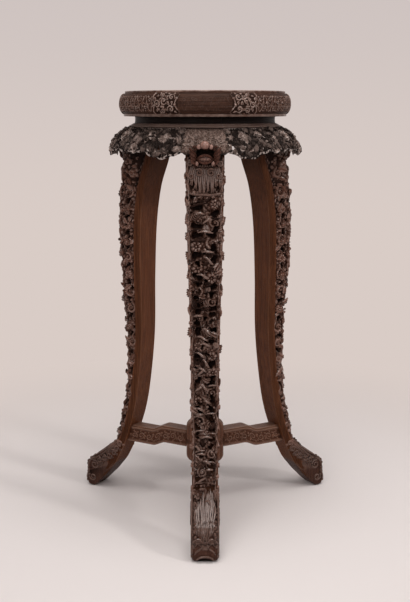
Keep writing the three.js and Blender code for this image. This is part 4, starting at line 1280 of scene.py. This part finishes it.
# Mane above the toe: fine locks of uneven length, with a row of coils on each side
for k in range(-7, 8):
    x = k * 2.5
    foot = 60 + abs(k) * 0.8 + draw(-2, 3)
    top = 122 - abs(k) * 1.5 + draw(-16, 10)
    wave = draw(-1.6, 1.6)
    strand(carving, [(x * (0.8 + 0.3 * sin(pi * t)) + wave * sin(4 * t + k + 7), foot + (top - foot) * t,
                      -2.2 + 2.6 * sin(pi * t) ** 0.7, draw(1.6, 2.3) * (0.55 + 0.45 * sin(pi * t)))
                     for t in shares(9)], 6)
for side in (-1, 1):
    for h, x, size in mane_coils:
        strand(carving, coil_path(side * x, h + draw(-3, 3), -1.6, size, 1.3, side, draw(0, 6), 2.0, 1.8))
# Mane under the jaw: locks that part from the middle, and three coils on each side of it
for k in range(-8, 9):
    x = k * 4.0
    drop = 60 - abs(k) * 3 + draw(-6, 6)
    sway = draw(0.6, 2) * (1 if k % 2 else -1)
    strand(carving, curve_through([
        (x * 0.8, jaw_mane_top, -5.5, 1.9), (x * 0.92, jaw_mane_top - 13, -3.2, 2.5),
        (x, jaw_mane_top - 26, -2.2, 2.5), (x * 0.98 + sway, jaw_mane_top - drop * 0.8, -2.0, 2.1),
        (x * 1.05, jaw_mane_top - drop, -3.8, 1.5)], 6))
for side in (-1, 1):
    strand(carving, coil_path(side * 11.5, 744, -0.2, 7.4, 1.5, side, 0.5 if side > 0 else pi - 0.5, 2.8), 8)
    strand(carving, coil_path(side * 27, 738, -0.6, 6.2, 1.5, -side, 1.5, 2.4), 8)
    strand(carving, coil_path(side * 30, 762, -2.4, 6.0, 1.5, side, 2.5, 2.6), 8)
for k in range(-4, 5):
    add_form(carving, bead, k * 4.6, jaw_mane_top - 1, -2.0, 0, 1.0)
collar = [(-32, 706, -4, 2.0), (-18, 703, -1.8, 2.6), (0, 702, -1.4, 2.6), (17, 702, -1.8, 2.6),
          (32, 706, -4, 2.0)]
strand(carving, curve_through(collar, 6), 8)
bend(carving, leg_bend, 17)

# Head of the leg: a block of the apron's own section, part of the leg's wood, carved all over with
# small coils and leaves, and crossed by two fillets. Coils are (u, v, radius, hand, start).
head_half = radians(13.4) * apron_arc
head_depth = radians(apron_edge) * apron_girth
head_coils = (
    (8, 15, 5, 1, 2.4), (18.5, 15, 5, -1, 0.6), (29, 15, 5, 1, 1.5), (39, 16, 4.5, -1, 3.0),
    (8, 27, 4.5, -1, 4.0), (18.5, 27, 4.5, 1, 5.0), (29, 26, 4.5, -1, 2.0), (39.5, 28, 4.5, 1, 1.0),
    (7, 40, 4.5, 1, 0.8), (17, 41, 4.8, -1, 3.4), (7, 52, 4.2, -1, 2.0), (17.5, 53, 4.5, 1, 5.2),
    (30, 45, 7.0, 1, 0.3), (42, 58, 5.0, -1, 2.0), (27, 60, 4.5, -1, 4.0))
head = bmesh.new()
face = grid_of(head, 90, 66)
head_lines = []
for side in (-1, 1):
    for u, v, r, hand, start in head_coils:
        head_lines.append(raised_line(spiral_path(side * u, v, r, 1.3, side * hand, start), 1.4, 2.8))
        head_lines += leaf_ring(u, v, r + 0.6, side, start, 4, 4.4, 1.5, 2.6)
for v in (8.5, 33.5):
    head_lines.append([(u * 0.8, v, 1.0, 1.6) for u in range(-55, 56)])
head_height = relief_of(head_lines)
for vert in face:
    u = vert.co.x * 2 * head_half
    v = (vert.co.y + 0.5) * (head_depth - 12.5 * clamp((23 - abs(u)) / 7))
    vert.co = (u, v, head_height(u, v) - 3.0)
bmesh.ops.solidify(head, geom=head.faces[:], thickness=26)
for k in range(-8, 9):
    add_form(head, bead, k * 5.1, 4.6, -1.6, 0, 0.9)
bend(head, apron_bend, 9)

# Mask under the block, carved in the leg's wood: a round nose between two wings, a lens-shaped jaw
# with ribs and two lips, folded cheeks with a curl, and behind them a plain core down to the mane,
# painted in shade
lip_height = 770
core_foot = 690
core_head = 794
core_squareness = 0.45


def ball(bm, centre, radii, turn=0.0, rings=12):
    verts = bmesh.ops.create_uvsphere(bm, u_segments=rings + 4, v_segments=rings, radius=1)["verts"]
    place = Matrix.Translation(centre) @ Matrix.Rotation(turn, 4, "X") @ Matrix.Diagonal((*radii, 1))
    bmesh.ops.transform(bm, matrix=place, verts=verts)


def squared(value):
    """Squares the corners of an ellipse, given the cosine or sine of its angle."""
    return math.copysign(abs(value) ** core_squareness, value)


core = bmesh.new()
recess = note_of(core, "recess")
for vert in grid_of(core, 28, 26):
    turn = (vert.co.x + 0.5) * 2 * pi
    height = core_foot + (core_head - core_foot) * (vert.co.y + 0.5)
    inner, outer, width, _ = leg_at(height)
    front = outer - 9 - 9 * clamp((height - 768) / 6) - 6 * clamp((712 - height) / 22)
    back = inner + plank_depth - 3
    vert.co = ((front + back) / 2 + (front - back) / 2 * squared(cos(turn)),
               (width / 2 - 4.5) * squared(sin(turn)), height)
bmesh.ops.remove_doubles(core, verts=core.verts, dist=0.02)
close_ends(core)
# The core behind the mask is painted in shade.
for vert in core.verts:
    vert[recess] = 0.9
mask = bmesh.new()
note_of(mask, "recess")
ball(mask, (207, 0, 797), (8.6, 8.8, 8.0), rings=14)
ball(mask, (188, 0, 769), (8, 13, 7), rings=14)
for rise in (1, -1):
    lips = [(x, y, lip_height + opening * rise, thick) for x, y, opening, thick in (
        (192, -14.5, 0, 1.6), (196.5, -9.5, 4.6, 2.4), (199, -4, 6.8, 2.7), (199.6, 0, 7.2, 2.8),
        (199, 4, 6.8, 2.7), (196.5, 9.5, 4.6, 2.4), (192, 14.5, 0, 1.6))]
    strand(mask, curve_through(lips, 5), 8)
for side in (-1, 1):
    ball(mask, (203.5, side * 11.4, 793.5), (5.8, 4.8, 4.9), side * 0.3, rings=14)
    strand(mask, [(202 + 2 * t, side * (19 + 4.6 * (1 - 0.8 * t) * cos(8.5 * t)),
                   790.5 + 4.6 * (1 - 0.8 * t) * sin(8.5 * t), 2.1 - 0.8 * t) for t in shares(18)])
    for k in range(4):
        strand(mask, curve_through([
            (197 - k, side * (31 - k), 792 - 7 * k, 1.8),
            (199 - k * 1.4, side * (26 - k * 0.6), 787 - 7.4 * k, 2.9),
            (196.5 - k * 1.4, side * (20.5 - k * 0.4), 781.5 - 7 * k, 2.7),
            (193 - k, side * (16.5 + k * 0.6), 775 - 6.4 * k, 1.6)], 5), 8)
    ball(mask, (193, side * 15.5, 762), (4.4, 3.8, 4.2))
    for k in range(5):
        spot = (197 - k * k * 0.3, side * (1.4 + k * 2.6), lip_height)
        ball(mask, spot, (2.2, 1.3, 5.2 - k * k * 0.22), rings=8)

# Toe, carved in the leg's wood: a beast head that looks out and down, its lip on the floor, with
# ringed eyes, coils and knobs along its outline, and a long mane that runs up the leg.
# Its outline is drawn from the side (distance from the stand's axis, height).
toe_outline = [
    (285, 0), (292, 0), (298.5, 1.5), (302.5, 6), (304.6, 13), (304.4, 21), (302.5, 29), (299.6, 36.5),
    (301, 43), (300.6, 51), (297, 60), (289, 68.5), (276, 75), (261, 83), (245, 90), (231, 96), (221, 98),
    (211, 97), (214, 86), (226, 64), (243, 40), (259, 24), (273, 10)]
toe_middle = Vector((257, 44))
toe_side = 25.4
# Coils (distance, height, radius, sweep) and small scrolls (distance, height, radius) on its sides,
# and the rings round each eye (radius, thickness)
toe_coils = ((281, 53, 12, 9.5), (287, 22, 10.5, -9.5))
toe_scrolls = ((266, 67, 7), (252, 74, 7.5), (238, 82, 7.5), (226, 91, 7), (216, 103, 7), (208, 116, 6.5))
eye_rings = ((2.6, 2.6), (6.2, 1.7), (9.6, 2.2))
eye_offset = 14
eye_height = 37
toe = bmesh.new()
toe_path = curve_through([*toe_outline, toe_outline[0]], 4)[:-1]
toe_ring = len(toe_path)
toe_random = random.Random(8)
for vert in grid_of(toe, toe_ring, 36):
    spot = toe_path[round((vert.co.x + 0.5) * toe_ring) % toe_ring]
    share = vert.co.y * 2
    front = clamp((spot.x - 226) / 14)
    width = (leg_half(spot.y) + 0.15) * (1 - 0.2 * clamp((spot.y - 62) / 36))
    edge = 1 - sqrt(max(0.0, 1 - clamp((abs(share) - 0.7) / 0.3) ** 2))
    pull = (toe_middle - spot).normalized() * 5.5 * edge
    vert.co = (spot.x + pull.x * front, share * width, max(spot.y + pull.y * front, 0))
bmesh.ops.remove_doubles(toe, verts=toe.verts, dist=0.02)
close_ends(toe)
recess = note_of(toe, "recess")


def toe_face(across, height, lift=0.0):
    """A point on the outer face of the toe, at a place across it and a height."""
    near = min(toe_path, key=lambda p: abs(p.y - height) - p.x * 0.2)
    out = (near - toe_middle).normalized()
    return Vector((near.x + out.x * lift, across, height + out.y * lift))


def face_strand(points, thick, steps=4, sides=7):
    """A strand over the outer face of the toe through (across, height, lift) points."""
    strand(toe, curve_through([(*toe_face(*point), thick) for point in points], steps), sides)


def side_coil(x, y, z, radius, start, sweep, steps, squash=1.0):
    """A coil on the side of the toe."""
    path = []
    for t in shares(steps):
        reach = radius * (1 - 0.82 * t)
        angle = start + sweep * t
        path.append((x + reach * cos(angle), y, z + reach * squash * sin(angle), 2.5 - 0.9 * t))
    strand(toe, path)


for side in (-1, 1):
    # A roll that follows the outline, and the two coils in its lobes
    roll = [p - (p - toe_middle).normalized() * 3.2 for p in toe_path[:int(toe_ring * 0.6)]
            if p.x > 262 and 7 < p.y < 74]
    strand(toe, curve_through([(p.x, side * toe_side, p.y, 2.5) for p in roll][::2], 2))
    for x, z, radius, sweep in toe_coils:
        side_coil(x, side * toe_side, z, radius, 1.0, sweep, 34, 0.92)
    # Locks that flow down from the leg, knobs along the outline, and scrolls with lumps beside them
    for k in range(5):
        top = 124 - 2.4 * k
        foot = 44 + 5 * k
        lock = []
        for t in shares(14):
            z = top + (foot - top) * t
            inner, outer, width, _ = leg_at(z)
            share = 0.46 + 0.12 * k + 0.06 * sin(4 * t + k)
            lock.append((inner + share * (min(outer, 297) - inner), side * (width / 2 - 0.6), z,
                         (2.0 + 0.5 * sin(k * 2.4)) * (0.45 + 0.55 * sin(pi * t))))
        strand(toe, lock)
    for k in range(16):
        spot = toe_path[int(toe_ring * (0.4 + 0.019 * k))]
        swell = toe_random.uniform(3.0, 5.4)
        ball(toe, (spot.x + toe_random.uniform(-0.5, 2), side * toe_random.uniform(18, 24),
                   spot.y + toe_random.uniform(-1, 1)), (swell, swell * 0.8, swell))
    for x, z, radius in toe_scrolls:
        half = leg_half(z)
        side_coil(x, side * (half + 0.6), z, radius, toe_random.uniform(0, 6), 8.5, 26)
        ball(toe, (x - 8, side * (half - 0.4), z - 3), (3.6, 2.6, 3.0))
        ball(toe, (x + 7, side * (half - 0.4), z + 5), (3.2, 2.8, 3.4))
    # Ringed eyes, and two folds that run from the bridge of the nose to the cheek
    for size, thick in eye_rings:
        ring = []
        for t in shares(20):
            angle = radians(-50 + 280 * t)
            spot = toe_face(side * eye_offset + size * cos(angle), eye_height + size * 1.05 * sin(angle), 1.0)
            ring.append((*spot, thick))
        strand(toe, ring)
    for k in range(2):
        face_strand([(side * (4 + 4.5 * k), 30 - 3.2 * k, 0.3), (side * (12 + 3 * k), 27 - 3.5 * k, 0.8),
                     (side * (20 + 1.2 * k), 20 - 4 * k, 0.2)], 1.2)
# Mane down the face, ribs on the bridge of the nose, and the lip with the mouth under it painted black as
# shade
for k in range(-8, 9):
    lock = []
    for t in shares(12):
        across = k * (2.2 + 0.35 * t) + 0.8 * sin(5 * t + k)
        spot = toe_face(across, 100 - (54 - abs(k)) * t, 0.1 + 0.9 * sin(pi * t))
        lock.append((*spot, 1.7 * (0.6 + 0.4 * sin(pi * t))))
    strand(toe, lock, 6)
for k in range(-2, 3):
    across = k * 2.7
    face_strand([(across * 1.2, 52, 0.2), (across, 43, 0.7), (across * 0.9, 34, 0.7),
                 (across * 0.7, 25, 0.2)], 1.4, sides=6)
lip = [(*toe_face(across, height, lift), thick) for across, height, lift, thick in (
    (-17.5, 3.5, 0.4, 1.2), (-14, 9, 1.0, 2.0), (-8, 12.5, 1.2, 2.4), (0, 13.6, 1.4, 2.4),
    (8, 12.5, 1.2, 2.4), (14, 9, 1.0, 2.0), (17.5, 3.5, 0.4, 1.2))]
strand(toe, curve_through(lip, 5), 8)
# Painted shade in the mouth.
for vert in toe.verts:
    if vert.co.x > 292 and abs(vert.co.y) < 14 and vert.co.z < 10.5 - abs(vert.co.y) * 0.25:
        vert[recess] = 0.97

# The undercut work, the core and the toe are one piece, cut flat at the floor. The mask and the block are
# pieces of their own in other tones: the mask's wood is redder, and the block's lighter and greyer, as
# painted light from above.
mane_zones = ((-10, 134), (690, 760))
leg = bmesh.new()
note_of(leg, "recess")
for part in (carving, core, toe):
    add_part(leg, part)
mark_crests(leg, 1.9)
mark_hollow_shade(leg, 10, 1.35, 9, [relief_tree])
paint_light_on_sides(leg)
# The manes get dimmer crests: less wear and less painted highlight.
crest = note_of(leg, "crest")
for vert in leg.verts:
    if any(low < vert.co.z < high for low, high in mane_zones):
        vert[crest] *= 0.82
bmesh.ops.bisect_plane(leg, geom=leg.verts[:] + leg.edges[:] + leg.faces[:], plane_co=(0, 0, 0),
                       plane_no=(0, 0, -1), clear_outer=True)
fill_holes(leg)
make_round("carved_leg", leg, leg_wood, "leg")
mark_crests(mask, 2.6)
mark_hollow_shade(mask, 10, 1.3, 10, [relief_tree])
mask_wood = wood("leg mask wood", ((82, 50, 41), (120, 82, 70), (166, 132, 121), (9, 2, 0)), (380, 380, 16),
                 crest_share=0.5, dust_and_top_light_share=0.3, roughness=0.2, grain_bump=0.4, shine=1.4, chisel=0.5)
make_round("leg_mask", mask, mask_wood, "leg")
mark_crests(head, 2.4)
mark_hollow_shade(head, 6, 1.6)
# The block's lighter, greyer tones paint the light that falls on it from above.
top_lit_head_wood = wood("leg head wood with painted top light", ((88, 69, 61), (122, 101, 92), (170, 152, 144), (12, 5, 2)), (380, 380, 16),
                 crest_share=0.6, dust_and_top_light_share=0.5, roughness=0.32, grain_bump=0.4, shine=0.8, chisel=0.9)
make_round("leg_head", head, top_lit_head_wood, "leg")

# Stretcher arms: three humpback bars of hardwood, tenoned into the legs and the hub. Their tops are
# moulded and plain, and their sides carry shallow coils (distance from the axis, v, radius, hand,
# start) between two fillets.
hub_radius = 41
arm_low = 122
arm_tall = 38
arm_rise = 11
arm_bow = (103, 134)
arm_reach = 192
arm_field = (4.2, 30.8)
arm_middle = 17.5
arm_coils = ((57, 0, 8, 1, 2.0), (77, 1, 8.5, -1, 4.5), (97, -1, 8, 1, 1.2), (118, 1, 8.5, -1, 5.2),
             (139, 0, 8.5, 1, 2.4), (160, 0, 8.5, -1, 4.8), (179, 0, 7, 1, 1.0))


def arm_step(radius, shift):
    """How much higher the arm lies inside its bow than at its outer end."""
    t = clamp((radius - arm_bow[0] - shift) / (arm_bow[1] - arm_bow[0]))
    return arm_rise * (0.5 + 0.5 * cos(pi * t))


arm_lines = [raised_line([(44, v), (190, v)], 1.3, 1.3, 1) for v in (-12.5, 12.5)]
for u, v, r, hand, start in arm_coils:
    arm_lines.append(raised_line(spiral_path(u, v, r, 1.5, hand, start), 1.5, 1.7))
    for k in range(5):
        angle = start + k * 2 * pi / 5
        arm_lines += leaf_lines(*around(u, v, r + 0.5, angle), 5, angle + 0.6, 1.5, 1.5)
arm_height = relief_of(arm_lines)
# Section (across, height) from the middle of the underside round one side to the middle of the top
arm_section = [(0, 0), (12, 0), (15.6, 0.2), (16.6, 1.2), (16.6, 3.4), (15.2, arm_field[0])]
arm_section += [(15.2, arm_field[0] + (arm_field[1] - arm_field[0]) * t) for t in shares(26)[1:]]
arm_section += [(16.4, 31.4), (17.7, 32.2), (18, 33.4), (17.6, 34.8), (16.2, 35.4), (15.6, 36), (15.4, 37.2),
                (14.6, arm_tall), (9, arm_tall), (0, arm_tall)]
arm_ring = ring_of(arm_section)
arm = bmesh.new()
recess = note_of(arm, "recess")
for vert in grid_of(arm, len(arm_ring), 170):
    across, level = arm_ring[round((vert.co.x + 0.5) * len(arm_ring)) % len(arm_ring)]
    t = vert.co.y + 0.5
    nominal = hub_radius + (arm_reach - hub_radius) * t
    share = level / arm_tall
    height = arm_low + level + arm_step(nominal, -8) * (1 - share) + arm_step(nominal, 2) * share
    # The ground of the side relief is painted in shade, less under the raised lines.
    if arm_field[0] + 0.1 < level < arm_field[1] - 0.1:
        rise = arm_height(nominal, level - arm_middle)
        vert[recess] = clamp(0.62 - rise / 1.6)
        across += math.copysign(rise, across)
    start = sqrt(hub_radius ** 2 - min(across ** 2, 600)) + 0.4
    end = leg_at(height)[0] - 0.4
    vert.co = (start + (end - start) * t, across, height)
bmesh.ops.remove_doubles(arm, verts=arm.verts, dist=0.01)
close_ends(arm)
for from_radius, to_radius, level in ((29.3, 44, 152), (184, 201, 141)):
    box(arm, ((from_radius + to_radius) / 2, 0, level), (to_radius - from_radius, 16, 24))
mark_crests(arm, 4)
arm_wood = wood("stretcher wood", ((80, 49, 36), (116, 78, 60), (134, 108, 94), (26, 11, 5)), (14, 420, 420),
                crest_share=0.5, dust_and_top_light_share=0.4, roughness=0.34, grain_bump=0.5, bent=1)
make_round("humpback_arm", arm, arm_wood, "stretcher_arm")

# Hub: a turned hardwood boss that holds the tenons of the three arms, with a ring of carved petals
hub_bottom = 104
hub_top = 198
hub_round = 16
hub_inner = hub_radius - hub_round
petal_depth = 2.2
foot_round = [around(hub_inner, hub_bottom + hub_round, hub_round, radians(a)) for a in range(-84, 1, 7)]
head_round = [around(hub_inner, hub_top - hub_round, hub_round, radians(a)) for a in range(0, 85, 7)]
hub_wall = [(hub_radius, hub_bottom + hub_round + (hub_top - hub_bottom - 2 * hub_round) * t)
            for t in shares(30)[1:-1]]
hub = spun([(0, hub_bottom - 4), (9.6, hub_bottom - 3), (20, hub_bottom)] + foot_round + hub_wall + head_round
           + [(20, hub_top + 1), (9, hub_top + 3.5), (0, hub_top + 5)], 216)
recess = note_of(hub, "recess")
# The cut petals are painted in shade, the deeper cuts darker.
for vert in hub.verts:
    if math.hypot(vert.co.x, vert.co.y) < 12:
        continue
    angle = math.atan2(vert.co.y, vert.co.x)
    level = clamp((vert.co.z - hub_bottom) / (hub_top - hub_bottom))
    petal = abs(sin(angle * 6)) ** 0.5
    band = clamp(abs(level - 0.5) * 30 - 1.2)
    carve = petal_depth * (1 - petal) * band + 1.6 * (1 - band)
    vert[recess] = clamp(carve / 2.4) * 0.8
    vert.co.x -= cos(angle) * carve
    vert.co.y -= sin(angle) * carve
mark_crests(hub, 4)
turn_upright(hub, radians(-90))
make_piece("petalled_hub", hub, arm_wood, "stretcher_hub")

# Studio: a pale paper floor that sweeps up into a round wall, an even weak sky, and three lamps: a
# wide one overhead, a small low one at the right that throws the long shadows, and a wide one in
# front. The far part of the paper glows with a pale colour for the camera and in reflections, a little
# darker upwards as a painted fall-off of the light.
floor_reach = 5.2
sweep_radius = 1.6
wall_top = 7.0
sweep = [(0, 0), (1.5, 0), (floor_reach - sweep_radius, 0)]
sweep += [(floor_reach - sweep_radius + sweep_radius * sin(radians(a)), sweep_radius * (1 - cos(radians(a))))
          for a in range(6, 91, 6)]
sweep += [(floor_reach, wall_top)]
backdrop = spun([(r / millimetre, z / millimetre) for r, z in sweep], 96)
bmesh.ops.delete(backdrop, geom=[face for face in backdrop.faces if len(face.verts) > 4], context="FACES")
bmesh.ops.reverse_faces(backdrop, faces=backdrop.faces)
studio = object_of("studio_floor", mesh_of("studio_floor", backdrop))
paper = bpy.data.materials.new("pale paper")
paper.use_nodes = True
tree = paper.node_tree
paper_shader = tree.nodes["Principled BSDF"]
plug(tree, paper_shader, {"Base Color": shade(216, 210, 209), "Roughness": 0.95, "Specular IOR Level": 0.1})
where = node_of(tree, "ShaderNodeSeparateXYZ", Vector=place_of(tree)).outputs
fade = smooth_of(tree, radius_of(tree, where), 0.42, 1.4)
rise = smooth_of(tree, where[2], -0.9, 0.9)
seen = node_of(tree, "ShaderNodeLightPath").outputs
shows = math_of(tree, "MAXIMUM", seen["Is Camera Ray"],
                math_of(tree, "MAXIMUM", seen["Is Glossy Ray"], seen["Is Transmission Ray"]))
glow = node_of(tree, "ShaderNodeEmission", Strength=1.0,
               Color=blend_of(tree, rise, shade(217, 204, 198), shade(206, 195, 192)))
mixed = node_of(tree, "ShaderNodeMixShader")
plug(tree, mixed, {0: math_of(tree, "MULTIPLY", fade, shows), 1: paper_shader.outputs[0], 2: glow.outputs[0]})
plug(tree, tree.nodes["Material Output"], {"Surface": mixed.outputs[0]})
studio.data.materials.append(paper)
world = bpy.data.worlds.new("even sky")
world.use_nodes = True
plug(world.node_tree, world.node_tree.nodes["Background"], {"Color": (1.0, 0.985, 0.97, 1), "Strength": 0.5})
bpy.context.scene.world = world


def lamp(name, place, aim, size, power):
    """A warm round lamp that faces its aim. Sizes are in metres, and power in watts."""
    light = bpy.data.lights.new(name, "AREA")
    light.shape = "DISK"
    light.size = size
    light.energy = power
    light.color = (1.0, 0.975, 0.95)
    thing = object_of(name, light)
    thing.location = place
    thing.rotation_euler = (Vector(aim) - Vector(place)).to_track_quat("-Z", "Y").to_euler()


lamp("overhead lamp", (0.15, -0.6, 2.3), (0, 0, -0.45), 1.7, 52)
lamp("key lamp", (2.6, -1.9, 1.1), (0, 0, -0.5), 0.45, 34)
lamp("front lamp", (-0.9, -3.3, 1.3), (0, 0, -0.5), 2.6, 56)

# Camera: where the photo was taken from, fitted to the top, the legs and the feet
camera_data = bpy.data.cameras.new("camera")
camera_data.sensor_fit = "VERTICAL"
camera_data.sensor_height = 36
camera_data.lens = 62.81
camera_data.clip_start = 0.05
camera_data.clip_end = 60
camera = object_of("camera", camera_data)
camera.location = (0, -2.212, -0.0339)
camera.rotation_euler = (radians(79.59), 0, 0)
bpy.context.scene.camera = camera
bpy.context.scene.view_settings.view_transform = "Standard"
